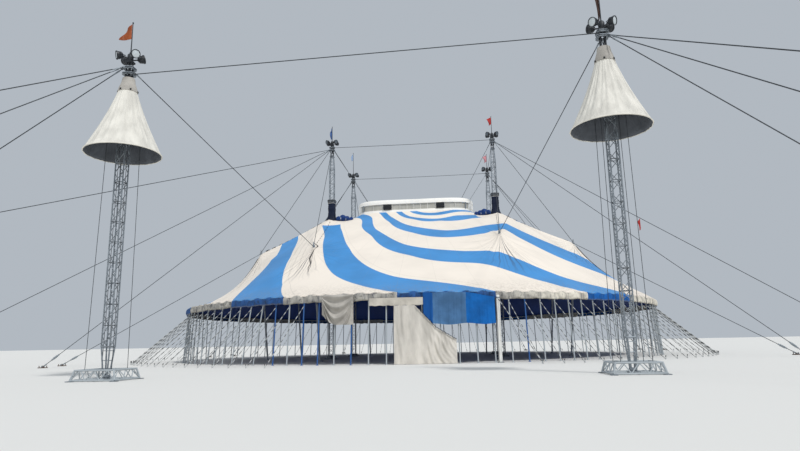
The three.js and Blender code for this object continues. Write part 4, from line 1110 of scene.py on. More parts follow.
def line(start, end):
    """Straight curve between two points."""
    return value_of(start.tree, "GeometryNodeCurvePrimitiveLine", {"Start": start, "End": end})


def thickened(curves, radius, sides):
    """Curves as round bars."""
    tree = curves.tree
    ring = value_of(tree, "GeometryNodeCurvePrimitiveCircle", {"Resolution": sides, "Radius": radius})
    return value_of(tree, "GeometryNodeCurveToMesh", {
        "Curve": curves, "Profile Curve": ring, "Fill Caps": True})


def repeated(points, shape, **how):
    """A shape set on points, as real geometry."""
    made = value_of(shape.tree, "GeometryNodeInstanceOnPoints", {"Points": points, "Instance": shape, **how})
    return value_of(shape.tree, "GeometryNodeRealizeInstances", {0: made})


def lattice_tree():
    """Node tree of a square lattice mast with chords, rungs and zigzag braces."""
    tree, given = new_group("lattice_mast", {
        "Geometry": ["Geometry"], "Float": ["Width", "Bottom", "Top", "Bay", "Chord", "Brace"],
        "Vector": ["Place"], "Material": ["Finish"]})
    bottom, top = given["Bottom"], given["Top"]
    half = (given["Width"] - given["Chord"]) * 0.5
    less = half * -1.0
    height = top - bottom
    bays = height.sum("DIVIDE", given["Bay"]).sum("ROUND")
    step = height.sum("DIVIDE", bays)
    up, down = step * 0.5, step * -0.5
    index = value_of(tree, "GeometryNodeInputIndex")

    def corner(x, z):
        return vector(tree, x, less, z)

    def rung(z):
        return line(corner(less, z), corner(half, z))

    def four_times(shape):
        spots = value_of(tree, "GeometryNodePoints", {"Count": 4})
        return repeated(spots, shape, Rotation=vector(tree, z=index * (math.pi / 2)))

    bay = four_times(joined(rung(down), line(corner(less, down), corner(half, up))))
    spots = value_of(tree, "GeometryNodePoints", {
        "Count": bays, "Position": vector(tree, z=bottom + step * (index + 0.5))})
    flip = index.sum("MODULO", 2.0) * -2.0 + 1.0
    stack = repeated(spots, bay, Scale=vector(tree, 1.0, 1.0, flip))
    uprights = four_times(joined(line(corner(less, bottom), corner(less, top)), rung(top), rung(bottom)))
    bars = joined(thickened(stack, given["Brace"] * 0.5, 6), thickened(uprights, given["Chord"] * 0.5, 8))
    moved = value_of(tree, "GeometryNodeTransform", {"Geometry": bars, "Translation": given["Place"]})
    return end_group(moved, given["Finish"])


def upright_tree():
    """Node tree that stands a bar with a foot on every point, leaning towards or from the centre."""
    tree, given = new_group("bar_on_points", {
        "Geometry": ["Geometry"], "Vector": ["Start", "End"],
        "Float": ["Radius", "Foot Radius", "Foot Height", "Shift"], "Material": ["Finish"]})
    x, y, _ = split(value_of(tree, "GeometryNodeInputPosition"))
    turn = (y - given["Shift"]).sum("ARCTAN2", x)
    bar = thickened(line(given["Start"], given["End"]), given["Radius"], 8)
    disc = value_of(tree, "GeometryNodeMeshCylinder", {
        "Vertices": 12, "Radius": given["Foot Radius"], "Depth": given["Foot Height"]})
    lift = vector(tree, z=given["Foot Height"] * 0.5)
    place = value_of(tree, "ShaderNodeVectorMath", {0: given["Start"], 1: lift}, operation="ADD")
    foot = value_of(tree, "GeometryNodeTransform", {"Geometry": disc, "Translation": place})
    placed = value_of(tree, "GeometryNodeInstanceOnPoints", {
        "Points": given["Geometry"], "Instance": joined(bar, foot), "Rotation": vector(tree, z=turn)})
    return end_group(placed, given["Finish"])


def grown(name, tree, finish, values, points=()):
    """Runs a node tree on points and keeps the result as a plain piece. Its values are real sizes."""
    mesh = bpy.data.meshes.new(name)
    if len(points):
        mesh.from_pydata(to_model(points).tolist(), [], [])
    piece = bpy.data.objects.new(name, mesh)
    bpy.context.scene.collection.objects.link(piece)
    modifier = piece.modifiers.new("grow", "NODES")
    modifier.node_group = tree
    sockets = {s.name: s.identifier for s in tree.interface.items_tree if s.in_out == "INPUT"}
    modifier[sockets["Finish"]] = finish_named(finish)
    for key, value in values.items():
        modifier[sockets[key]] = (np.array(value, float) * MODEL_SCALE).tolist()
    bpy.context.view_layer.update()
    ready = piece.evaluated_get(bpy.context.evaluated_depsgraph_get())
    plain = bpy.data.meshes.new_from_object(ready)
    piece.modifiers.clear()
    piece.data = plain
    plain.name = name
    plain.shade_smooth()
    plain.set_sharp_from_angle(angle=math.radians(40))
    if not plain.polygons:
        raise RuntimeError(f"{name} came out empty")
    return settle(piece)


def add_rungs(form, x, y, z, reach, radius):
    """Four level bars round a square mast."""
    square = [(x + cx * reach, y + cy * reach, z) for cx, cy in SQUARE]
    for start, end in zip(square, square[1:] + square[:1]):
        form.tube([start, end], radius, 6)


class TENT_OT_masts(bpy.types.Operator):
    """Four lattice masts on foot plates"""

    bl_idname = "tent.masts"
    bl_label = "Lattice masts"

    def execute(self, context):
        sizes = context.scene.tent_sizes
        tree = lattice_tree()
        for sign_x, sign_y, place in PLACES:
            x, y = sign_x * MAST_X, sign_y * MAST_Y
            mast = grown(f"lattice_mast_{place}", tree, "galvanised_steel", {
                "Width": MAST_WIDTH, "Bottom": 0.12, "Top": MAST_LATTICE_TOP - TAPER, "Bay": sizes.bay,
                "Chord": sizes.chord, "Brace": sizes.brace, "Place": (x, y + FORWARD_SHIFT, 0)})
            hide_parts(f"mast_{place}")
            form = Form()
            half = (MAST_WIDTH - sizes.chord) / 2
            for cx, cy in CORNERS:
                form.tube([(x + cx * half, y + cy * half, MAST_LATTICE_TOP - TAPER - 0.05),
                           (x + cx * NECK_HALF, y + cy * NECK_HALF, MAST_LATTICE_TOP)], sizes.chord / 2)
                form.lathe([(0, 0.1), (0.05, 0.1), (0.05, 0.16), (0, 0.16)], 6,
                           (x + cx * 0.5, y + cy * 0.5, 0), finish=1)
            for level in range(4):
                share = (level + 0.5) / 4
                z = MAST_LATTICE_TOP - TAPER * (1 - share)
                add_rungs(form, x, y, z, half + (NECK_HALF - half) * share, sizes.brace / 2)
            form.box((x, y, 0.05), (FOOT_PLATE, FOOT_PLATE, 0.1), bevel=0.02)
            for turn in (0, 90):
                form.box((x, y, 0.22), (MAST_WIDTH + 0.4, 0.04, 0.26), turn, bevel=0.01)
            form.box((x, y, MAST_LATTICE_TOP - 0.02), (0.5, 0.5, 0.05), bevel=0.01)
            form.piece(
                f"mast_foot_and_taper_{place}", ["galvanised_steel", "rusty_stake_steel"], "mast_steel")
        return {"FINISHED"}


def add_head(form, x, y, bottom, lamp_height, pole_top):
    """Neck truss, four floodlights on arms and the flag pole, above a mast."""
    for cx, cy in CORNERS:
        low, high = bottom + 0.01, lamp_height - 0.25
        form.tube([(x + cx * 0.14, y + cy * 0.14, low), (x + cx * 0.1, y + cy * 0.1, high)], 0.035, 6)
        low, high = bottom + 0.35, lamp_height - 0.6
        form.tube([(x + cx * 0.13, y + cy * 0.13, low), (x - cx * 0.12, y + cy * 0.12, high)], 0.018, 5)
    for z, width, thick in (
            (bottom + 0.06, 0.38, 0.08), (bottom + 0.45, 0.4, 0.07), (lamp_height - 0.3, 0.4, 0.12)):
        form.box((x, y, z), (width, width, thick), bevel=0.02)
    form.lathe([(0, -0.2), (0.13, -0.2), (0.16, -0.1), (0.16, 0.12), (0.1, 0.2), (0, 0.2)], 16,
               (x, y, lamp_height))
    r, half = LAMP_RADIUS, LAMP_LENGTH / 2
    housing = [(0, -half), (r * 0.45, -half), (r * 0.62, -half * 0.8), (r * 0.8, -half * 0.55),
               (r * 0.82, -half * 0.1), (r * 0.88, 0), (r * 0.88, half * 0.55), (r, half * 0.6),
               (r, half), (r * 0.9, half), (r * 0.9, half * 0.8), (0, half * 0.8)]
    for cx, cy in CORNERS:
        rise = math.radians(LAMP_RISES[cy])
        lean = np.array([cx * LAMP_SPREAD[0], cy * LAMP_SPREAD[1], 0.0])
        out = lean / np.linalg.norm(lean) * math.cos(rise) + (0, 0, math.sin(rise))
        centre = np.array([x, y, lamp_height]) + lean
        across = np.cross(out, (0, 0, 1)) * 0.27
        form.tube([(x, y, lamp_height - 0.2), tuple(centre - out * 0.12)], 0.04, 6)
        form.tube([centre + across, centre - out * 0.3, centre - across], 0.018, 5)
        form.lathe(housing, 20, centre, out)
        form.lathe([(0, 0), (r * 0.88, 0), (r * 0.6, 0.02), (0, 0.03)], 20,
                   centre + out * half * 0.82, out, 1)
    form.tube([(x, y, lamp_height), (x, y, pole_top - 0.06)], [0.035, 0.018], 8)
    form.lathe([(0, -0.06), (0.03, -0.05), (0.045, 0), (0.03, 0.04), (0, 0.06)], 10, (x, y, pole_top - 0.06))


def add_flag(name, head, place, finish, drop, width, seed, bearing):
    """Nylon flag that hangs from its pole in folds."""
    x, y, top = place
    u, v = np.meshgrid(np.linspace(0, 1, 14), np.linspace(0, 1, 18), indexing="ij")
    reach = 0.03 + width * u * (0.55 + 0.25 * np.sin(seed + 3 * v))
    fall = drop * v + 0.35 * u * drop * (1 - 0.4 * v)
    swing = 0.1 * np.sin(5 * u + seed + 4 * v) * u
    angle = math.radians(bearing)
    px = x + reach * math.cos(angle) - swing * math.sin(angle)
    py = y + reach * math.sin(angle) + swing * math.cos(angle)
    outer = np.stack([px, py, top - fall], axis=2)
    side = np.array([-math.sin(angle), math.cos(angle), 0]) * 0.012
    form = Form()
    form.cloth(outer + side, outer - side, grid=np.stack([width * u, drop * v], axis=2))
    flag = form.piece(name, [finish], "lamp_metal", 75)
    cut_size(outer)
    cut_area(outer)


class TENT_OT_heads(bpy.types.Operator):
    """Floodlight heads with their flag poles and flags"""

    bl_idname = "tent.heads"
    bl_label = "Lamp heads and flags"

    def execute(self, context):
        for sign_x, sign_y, place in PLACES:
            x, y, top = sign_x * MAST_X, sign_y * MAST_Y, FLAG_POLE_TOPS[place]
            form = Form()
            add_head(form, x, y, MAST_LATTICE_TOP, LAMP_HEIGHT, top)
            head = form.piece(
                f"lamps_mast_head_{place}", ["black_lamp_enamel", "unlit_floodlight_glass"], "lamp_metal")
            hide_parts(f"mast_head_{place}")
            add_flag(f"flag_{place}", head, (x, y, top - 0.15), *FLAGS[place])
        for side, name in NAMED_SIDES:
            x, y, top = side * CONE_MAST_X, CONE_MAST_Y, CONE_FLAG_POLE_TOP
            form = Form()
            add_head(form, x, y, CONE_LATTICE_TOP, CONE_LAMP_HEIGHT, top)
            head = form.piece(
                f"lamps_forecourt_head_{name}", ["black_lamp_enamel", "floodlight_glass"], "lamp_metal")
            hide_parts(f"forecourt_head_{name}")
            add_flag(f"flag_forecourt_{name}", head, (x, y, top - 0.12), *FLAGS[name])
        return {"FINISHED"}


def add_ring(form, x, y, z, finish=0):
    """Collar of two flat plates with bolts that the cables pull on."""
    outline = np.array([(0.3, -0.2), (0.3, 0.2), (0.2, 0.3), (-0.2, 0.3),
                        (-0.3, 0.2), (-0.3, -0.2), (-0.2, -0.3), (0.2, -0.3)])
    for rise in (-0.04, 0.04):
        form.loft([[(x + a, y + b, z + rise + dz) for a, b in outline * share]
                   for share, dz in ((1, -0.015), (1, 0.015), (0.6, 0.015), (0.6, -0.015))], finish, True)
    for cx, cy in ((0.25, 0), (-0.25, 0), (0, 0.25), (0, -0.25)):
        form.tube([(x + cx, y + cy, z - 0.08), (x + cx, y + cy, z + 0.08)], 0.025, 6, finish)


def add_stay(form, start, end, width, far_fitting=True):
    """Taut cable between two points, with a shackle at the start and a tension screw near the end."""
    a, b = np.array(start, float), np.array(end, float)
    length = np.linalg.norm(b - a)
    ahead = (b - a) / length
    form.tube([a, b], width / 2, 8)
    form.tube([a, a + ahead * 0.14], 0.055, 8, 1)
    form.tube([a + ahead * 0.3, a + ahead * 0.75], [0.045, 0.03], 8, 1)
    if far_fitting:
        near = b - ahead * 1.5
        form.tube([near, near + ahead * 0.7], 0.06, 8, 1)
        form.tube([near + ahead * 0.15, near + ahead * 0.55], 0.085, 8, 1)
        form.tube([b - ahead * 0.35, b - ahead * 0.05], 0.05, 8, 1)


def add_anchor(form, x, y, bearing=0.0):
    """Steel ground plate held by driven stakes, with a lug for its cables."""
    form.box((x, y, 0.03), (0.56, 0.56, 0.06), bearing, 2, 0.015)
    for cx, cy in CORNERS:
        form.tube([(x + cx * 0.19, y + cy * 0.19, 0.02), (x + cx * 0.2, y + cy * 0.2, 0.19)], 0.03, 8, 2)
        form.lathe([(0, 0), (0.05, 0), (0.05, 0.02), (0, 0.03)], 8,
                   (x + cx * 0.2, y + cy * 0.2, 0.165), finish=2)
    form.box((x, y, 0.11), (0.3, 0.05, 0.12), bearing, 1, 0.01)


def ring_edge(x, y, z, far):
    """Point on a collar's wall that faces a far point."""
    dx, dy = far[0] - x, far[1] - y
    share = RING_REACH / max(abs(dx), abs(dy))
    return (x + dx * share, y + dy * share, z)


def pole_points(sign_x, sign_y, which):
    """Foot and tip of a quarter pole."""
    degrees, tip = (OUTER_POLE_ANGLE, OUTER_TIP) if which == "outer" else (INNER_POLE_ANGLE, INNER_TIP)
    if which == "inner" and sign_x < 0 and sign_y < 0:
        tip = SLACK_INNER_TIP
    signs = np.array([sign_x, sign_y, 1.0])
    return signs * polar(POLE_FOOT_RADIUS, degrees, 0), signs * polar(POLE_RADIUS, degrees, tip)


class TENT_OT_stays(bpy.types.Operator):
    """Stays of the four masts, the cables that tie their heads, and their ground anchors"""

    bl_idname = "tent.stays"
    bl_label = "Mast stays"

    def execute(self, context):
        width = context.scene.tent_sizes.cable
        for sign_x, sign_y, place in PLACES:
            x, y = sign_x * MAST_X, sign_y * MAST_Y
            form = Form()
            add_ring(form, x, y, STAY_RING, 1)
            for anchor in STAY_ANCHORS[place]:
                end = (*anchor, ANCHOR_HEIGHT / 2)
                add_stay(form, ring_edge(x, y, STAY_RING, end), end, width)
                add_anchor(form, *anchor)
            for which in ("outer", "inner"):
                tip = pole_points(sign_x, sign_y, which)[1]
                add_stay(form, ring_edge(x, y, STAY_RING, tip), tip - (0, 0, 0.05), width, False)
            hook = (sign_x * HOIST_POINT[0], sign_y * HOIST_POINT[1], CUPOLA_TOP - 0.04 + CUPOLA_CROWN)
            add_stay(form, ring_edge(x, y, STAY_RING, hook), hook, width * 0.8, False)
            stays = form.piece(f"cables_stays_{place}", ROPE_FINISHES, "cable_steel")
            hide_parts(f"stays_{place}")
            if place == "front_right":
                far = np.array([*STAY_ANCHORS[place][0], ANCHOR_HEIGHT / 2])
                near = np.array(ring_edge(x, y, STAY_RING, far))
                add_flag("flag_stay", stays, near + (far - near) * STAY_FLAG_SHARE, *FLAGS["stay"])
        form = Form()
        corners = [(cx * MAST_X, cy * MAST_Y) for cx, cy in SQUARE]
        for (x, y), (nx, ny) in zip(corners, corners[1:] + corners[:1]):
            add_ring(form, x, y, TIE_RING, 1)
            start = np.array(ring_edge(x, y, TIE_RING, (nx, ny)))
            end = np.array(ring_edge(nx, ny, TIE_RING, (x, y)))
            steps = np.linspace(0, 1, 9)[:, None]
            sag = np.array([0, 0, 0.2]) * steps * (1 - steps)
            form.tube(start + (end - start) * steps - sag, width / 2, 8)
        ties = form.piece("cables_mast_tie", ROPE_FINISHES, "cable_steel")
        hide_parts("mast_tie_cables")
        return {"FINISHED"}


class TENT_OT_quarter_poles(bpy.types.Operator):
    """Leaning poles that push the roof up, with their caps, shoes and ground cables"""

    bl_idname = "tent.quarter_poles"
    bl_label = "Quarter poles"

    def execute(self, context):
        sizes = context.scene.tent_sizes
        finishes = (*ROPE_FINISHES, "grey_enamelled_steel")
        for sign_x, sign_y, place in PLACES:
            for which in ("outer", "inner"):
                foot, tip = pole_points(sign_x, sign_y, which)
                ahead = (tip - foot) / np.linalg.norm(tip - foot)
                r = sizes.quarter_pole / 2
                form = Form()
                form.tube([foot + ahead * 0.05, foot + ahead * 0.9, tip - ahead * 1.2, tip - ahead * 0.1],
                          [r * 0.7, r, r, r * 0.7], 14, 3)
                form.tube([tip - ahead * 0.3, tip - ahead * 0.02], [r * 1.15, r * 1.15], 14, 1)
                form.tube([tip - ahead * 0.05, tip + ahead * 0.26], [0.06, 0.035], 8, 1)
                for rise in (2.6, 5.2, 7.8):
                    form.tube([foot + ahead * rise, foot + ahead * (rise + 0.16)], r * 1.2, 14, 1)
                form.box((foot[0], foot[1], 0.03), (0.48, 0.48, 0.06), bevel=0.01, finish=1)
                form.lathe([(0, 0), (r * 1.3, 0), (r * 1.1, 0.12), (0, 0.14)], 12,
                           (foot[0], foot[1], 0.05), finish=1)
                anchor = None
                if which == "outer":
                    anchor = (sign_x * OUTER_POLE_ANCHOR[0], sign_y * OUTER_POLE_ANCHOR[1])
                elif sign_y > 0:
                    anchor = (sign_x * BACK_POLE_ANCHOR[0], BACK_POLE_ANCHOR[1])
                if anchor:
                    add_stay(form, tip - ahead * 0.15, (*anchor, ANCHOR_HEIGHT / 2), sizes.cable)
                    add_anchor(form, *anchor)
                pole = form.piece(f"pole_quarter_{place}_{which}", finishes, "pole_steel")
                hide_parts(f"quarter_pole_{place}_{which}")
        return {"FINISHED"}


class TENT_OT_side_poles(bpy.types.Operator):
    """Poles under the eave, the eave rope they hang on, and the straps to the ground"""

    bl_idname = "tent.side_poles"
    bl_label = "Side poles and straps"

    def execute(self, context):
        sizes = context.scene.tent_sizes
        tree = upright_tree()
        count = 360 // SIDE_POLE_STEP
        stands = [polar(SIDE_POLE_FOOT_RADIUS, SIDE_POLE_STEP * (k + 0.5), 0) for k in range(count)]
        values = {
            "Start": (0, 0, 0), "End": (SIDE_POLE_TOP_RADIUS - SIDE_POLE_FOOT_RADIUS, 0, SIDE_POLE_TOP),
            "Radius": sizes.side_pole / 2, "Foot Radius": 0.11, "Foot Height": 0.03, "Shift": FORWARD_SHIFT}
        grey = [p for k, p in enumerate(stands) if k not in BLUE_SIDE_POLES and k not in SLANTED_SIDE_POLES]
        slanted = [stands[k] for k in SLANTED_SIDE_POLES]
        blue = [stands[k] for k in BLUE_SIDE_POLES]
        poles = grown("side_poles_grey", tree, "grey_enamelled_steel", values, grey)
        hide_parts(*[f"side_poles_{place}" for _, _, place in PLACES])
        grown("side_poles_slanted", tree, "grey_enamelled_steel", {**values, "Start": (0, -SLANT, 0)},
              slanted)
        grown("side_poles_blue", tree, "blue_enamelled_steel", values, blue)
        strapped = [p for p in stands if not (p[1] < 0 and ENTRANCE_SPAN[0] < p[0] < ENTRANCE_SPAN[1])]
        share = STRAP_TOP / SIDE_POLE_TOP
        top_radius = SIDE_POLE_FOOT_RADIUS + (SIDE_POLE_TOP_RADIUS - SIDE_POLE_FOOT_RADIUS) * share
        feet = [polar(STRAP_FOOT_RADIUS, math.degrees(math.atan2(p[1], p[0])), 0) for p in strapped]
        grown("ground_straps", tree, "strap_webbing", {
            **values, "End": (top_radius - STRAP_FOOT_RADIUS, 0, STRAP_TOP), "Radius": sizes.strap / 2,
            "Foot Radius": 0.035, "Foot Height": 0.3}, feet)
        form = Form()
        form.tube([polar(SIDE_POLE_TOP_RADIUS, d, SIDE_POLE_TOP) for d in np.linspace(0, 360, 241)], 0.05, 8)
        form.piece("eave_rope", ["strap_webbing"], "pole_steel")
        return {"FINISHED"}


def oblong(inset, z, degrees):
    """Ring of the cupola's rounded oblong outline at a height, drawn in by an inset."""
    return ring_points(cupola_radius(degrees) - inset, np.radians(degrees), z)


class TENT_OT_cupola(bpy.types.Operator):
    """White cupola: a spread lip, a recessed mesh band with its braces, and a soft domed cap"""

    bl_idname = "tent.cupola"
    bl_label = "Cupola"

    def execute(self, context):
        degrees = np.arange(0, 360, 1.5)
        angle = np.radians(degrees)
        ripple = 0.012 * np.sin(angle * 48)
        form = Form()
        lip = [(0.2, CUPOLA_BASE_BOTTOM), (0.0, CUPOLA_BASE_BOTTOM), (-0.05, 15.95), (0.0, 16.06),
               (0.03, 16.16), (0.03, 16.24), (0.07, CUPOLA_BASE_TOP), (0.2, CUPOLA_BASE_TOP)]
        form.loft([oblong(inset, z, degrees) for inset, z in lip], closed=True)
        base = form.piece("lip_cupola", ["white_cupola_cloth"], "cupola_fabric", 60)
        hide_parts("cupola_base")

        form = Form()
        sag = 0.03 * np.abs(np.sin(angle * 14))
        end = math.cos(math.radians(CUPOLA_END))
        proud = np.where(np.abs(np.cos(angle)) > end, BAND_INSET - 0.01, 0.0)
        rings = []
        for inset, z in ((BAND_INSET + 0.05, CUPOLA_BASE_TOP + 0.01), (BAND_INSET, CUPOLA_BASE_TOP + 0.01),
                         (BAND_INSET, CUPOLA_BAND_TOP - 0.01), (BAND_INSET + 0.05, CUPOLA_BAND_TOP - 0.01)):
            rings.append(oblong(inset + sag * 0.5 - proud, z, degrees))
        form.loft(rings, closed=True)
        band = form.piece("band_cupola", ["grey_vent_mesh", "white_cupola_cloth"],
                          "band_fabric", 60)
        for face in band.data.polygons:
            x, y = face.center[0], face.center[1] - FORWARD_SHIFT * MODEL_SCALE
            face.material_index = int(abs(x) / math.hypot(x, y) > end)
        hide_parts("cupola_side_band")
        length = float(np.sum(np.linalg.norm(np.diff(oblong(0, 0, degrees), axis=0), axis=1)))

        form = Form()
        cap = [(0.55, 17.22), (0.22, 17.16), (0.2, 16.98), (0.14, 16.95), (0.0, 16.95),
               (-0.03, 16.99), (0.0, 17.04), (0.0, 17.12), (0.04, 17.2), (0.12, 17.28),
               (0.26, 17.345), (0.5, HOIST_HEIGHT), (1.2, 17.41), (2.4, 17.43), (3.6, 17.445)]
        rings = []
        for i, (inset, z) in enumerate(cap):
            lift = CUPOLA_CROWN if i > 7 else 0
            rings.append(oblong(inset + (ripple if 6 <= i <= 9 else 0), z + lift, degrees))
        form.loft(rings)
        cap_piece = form.piece("cap_cupola", ["white_cupola_cloth"], "cupola_fabric", 60)
        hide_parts("cupola_cap")

        form = Form()
        for spokes, leans, inset, over, radius, finish in (
                (range(0, 360, 9), (0,), 0.05, 0.02, 0.022, 1),
                ((20, 160, 200, 340), (-3.2, 3.2), 0.06, 0, 0.03, 0),
                ((36, 144, 216, 324), (0,), 0.02, 0.05, 0.055, 0)):
            for spoke in spokes:
                for lean in leans:
                    form.tube([oblong(inset, CUPOLA_BASE_TOP - over, spoke),
                               oblong(inset, CUPOLA_BAND_TOP + over, spoke + lean)], radius, 8, finish)
        for sx, sy in CORNERS:
            form.lathe([(0, 0), (0.09, 0), (0.09, 0.03), (0.04, 0.05), (0, 0.06)], 12,
                       (sx * HOIST_POINT[0], sy * HOIST_POINT[1], HOIST_HEIGHT + CUPOLA_CROWN))
        form.piece("braces_cupola", ["galvanised_steel", "white_enamelled_steel"],
                   "box_metal")
        for sx, sy, place in PLACES:
            form = Form()
            x = sx * BOX_OFFSET
            y = sy * (CUPOLA_HALF_DEPTH - 0.12 + 0.005 + BOX_SIZE[1] / 2)
            z = BOX_BOTTOM + BOX_SIZE[2] / 2
            form.box((x, y, z), BOX_SIZE, bevel=0.025)
            front = y + sy * BOX_SIZE[1] / 2
            for row in range(6):
                form.box((x, front, z - 0.19 + 0.075 * row), (BOX_SIZE[0] - 0.16, 0.03, 0.03), 0, 1, 0.008)
            for side in SIDES:
                form.box((x + side * (BOX_SIZE[0] / 2 + 0.005), y, z),
                         (0.025, 0.08, BOX_SIZE[2] * 0.8), 0, 2, 0.006)
            box = form.piece(f"vent_box_{place}", ["black_box_enamel", "black_lamp_enamel",
                                                   "galvanised_steel"], "box_metal")
            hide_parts(f"cupola_box_{place}")
        return {"FINISHED"}


def rounded_square(x, y, half, z, count=32, square=6, ripple=0.0):
    """Ring of a square with rounded corners, with a ripple for gathered cloth."""
    turns = np.linspace(0, 2 * math.pi, count, endpoint=False)
    radius = half * (np.abs(np.cos(turns)) ** square + np.abs(np.sin(turns)) ** square) ** (-1 / square)
    radius = radius + ripple * np.cos(turns * 11 + z * 2)
    return ring_points(radius, turns, z, x, y)


def roof_height(x, y):
    """Height of the finished canopy over a plan position."""
    roof = bpy.data.objects["canopy"]
    above = to_model([(x, y, 30)])[0]
    hit, place, _, _ = roof.ray_cast(Vector(above), Vector((0, 0, -1)))
    if not hit:
        return ROOF_AT_MAST
    return place[2] / MODEL_SCALE


class TENT_OT_sleeves(bpy.types.Operator):
    """Navy sleeves round the masts with their cuffs and skirts, and the cloth tied up beside them"""

    bl_idname = "tent.sleeves"
    bl_label = "Mast sleeves"

    def execute(self, context):
        sizes = context.scene.tent_sizes
        for sx, sy, place in PLACES:
            x, y = sx * MAST_X, sy * MAST_Y
            clear = MAST_WIDTH / 2 + 0.03
            form = Form()
            outer = []
            inner = []
            for z in np.linspace(SLEEVE_BOTTOM, SLEEVE_TOP + 0.02, 26):
                slack = 0.014 * math.sin(z * 9) + 0.012 * math.sin(z * 23 + sx)
                outer.append(rounded_square(x, y, clear + sizes.cloth + 0.015 + slack, z, ripple=0.006))
                inner.append(rounded_square(x, y, clear, z))
            form.loft(outer + inner[::-1], closed=True)
            sleeve = form.piece(f"sleeve_{place}", ["navy_sleeve_cloth"], "sleeve_fabric", 75)
            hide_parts(f"mast_sleeve_{place}")
            form = Form()
            cuff = [(clear + 0.005, SLEEVE_TOP + 0.01), (0.4, SLEEVE_TOP - 0.02), (0.44, SLEEVE_TOP + 0.06),
                    (0.44, SLEEVE_TOP + 0.24), (0.41, SLEEVE_TOP + 0.3), (clear + 0.005, SLEEVE_TOP + 0.3)]
            form.loft([rounded_square(x, y, half, z) for half, z in cuff], closed=True)
            for rise in (0.06, 0.22):
                band = rounded_square(x, y, 0.445, SLEEVE_TOP + rise)
                form.tube(np.vstack([band, band[:1]]), 0.02, 6, 1)
            pale = rounded_square(x, y, clear + 0.055, SLEEVE_TOP - 0.09)
            form.tube(np.vstack([pale, pale[:1]]), 0.022, 6, 2)
            form.piece(f"cuff_{place}", ["black_box_enamel", "galvanised_steel",
                                         "white_enamelled_steel"], "sleeve_fabric", 50)
            skirt_outer = []
            skirt_inner = []
            for share in np.linspace(0, 1, 8):
                ring = rounded_square(x, y, clear + 0.06 + 0.22 * share ** 1.4, 0.0, count=48, square=3,
                                      ripple=0.02 * share)
                heights = np.array([roof_height(px, py) for px, py, _ in ring]) + 0.03
                ring[:, 2] = SKIRT_TOP + (heights - SKIRT_TOP) * (1 - (1 - share) ** 1.7)
                skirt_outer.append(ring)
                shrunk = ring.copy()
                shrunk[:, :2] = (ring[:, :2] - (x, y)) * 0.96 + (x, y)
                shrunk[:, 2] -= 0.02
                skirt_inner.append(shrunk)
            form = Form()
            form.loft(skirt_outer[::-1] + skirt_inner, closed=True)
            skirt = form.piece(f"skirt_{place}", ["navy_sleeve_cloth"], "sleeve_fabric", 75)
            form = Form()
            steps = np.linspace(0, 1, 22)
            path = []
            girth = []
            for share in steps:
                px = sx * (MAST_X - 0.55 - 1.7 * share)
                py = sy * (MAST_Y + 0.35 - 1.1 * share)
                lump = 0.27 + 0.08 * math.sin(share * 6.3 - 1.2) + 0.05 * math.sin(share * 23 + sy)
                girth.append(max(lump * min(1, 6 * share + 0.35, 6 * (1 - share) + 0.3), 0.05))
                path.append((px, py, roof_height(px, py) + girth[-1] * 0.75 + 0.06 * math.sin(share * 7)))
            form.tube(path, girth, 18)
            for tie in (5, 11, 16):
                form.tube([path[tie], np.array(path[tie]) + (0.05 * sx, 0.03 * sy, 0)],
                          girth[tie] * 1.06, 18, 1)
            bundle = form.piece(f"tied_cloth_{place}", ["blue_tied_cloth", "strap_webbing"],
                                "sleeve_fabric", 75)
        return {"FINISHED"}


class TENT_OT_ridge_ropes(bpy.types.Operator):
    """Laced ropes along the ridges from the masts to the quarter poles, and a dark tube down the front left
    that is lacing in part and painted shade of an open slit in part
    """

    bl_idname = "tent.ridge_ropes"
    bl_label = "Ridge ropes"

    def execute(self, context):
        form = Form()
        for sx, sy, _ in PLACES:
            for which, width, finish in (("outer", 0.085, 0), ("inner", 0.022, 1)):
                tip = pole_points(sx, sy, which)[1]
                start = np.array([sx * MAST_X, sy * MAST_Y])
                run = tip[:2] - start
                length = np.linalg.norm(run)
                for begin in np.arange(1.1, length - 0.5, 0.72):
                    stitch = [start + run * (begin + step) / length for step in (0.0, 0.2, 0.4)]
                    form.tube([(px, py, roof_height(px, py) + width * 0.8) for px, py in stitch],
                              width, 6, finish)
            tip = pole_points(sx, sy, "outer")[1][:2]
            fall = [tip * (1 + reach / POLE_RADIUS) for reach in np.linspace(0.3, 3.4, 9)]
            form.tube([(px, py, roof_height(px, py) + 0.03) for px, py in fall], 0.045, 6)
        # Painted shade: this dark tube also stands for the shade in an open slit of the cloth
        fall = [(px, py, roof_height(px, py) + 0.04) for px, py in LACING_AND_SLIT_SHADE]
        form.tube(fall, [0.02, 0.05, 0.025, 0.06, 0.03, 0.02, 0.012], 8)
        form.piece("ridge_ropes", ["dark_lacing_rope", "weathered_wire_rope"],
                   "roof_fabric")
        return {"FINISHED"}


def on_eave(x, offset, z):
    """Point of the front eave's arc at a position across, moved out by an offset."""
    return ring_points(EAVE_RADIUS + offset, -np.arccos(np.asarray(x) / EAVE_RADIUS), z)


def pole_clearance(z):
    """How far outside the eave line a cloth hangs to pass the leaning side poles."""
    lean = SIDE_POLE_FOOT_RADIUS + (SIDE_POLE_TOP_RADIUS - SIDE_POLE_FOOT_RADIUS) * z / SIDE_POLE_TOP
    return np.maximum(0.1, lean - EAVE_RADIUS + 0.075)


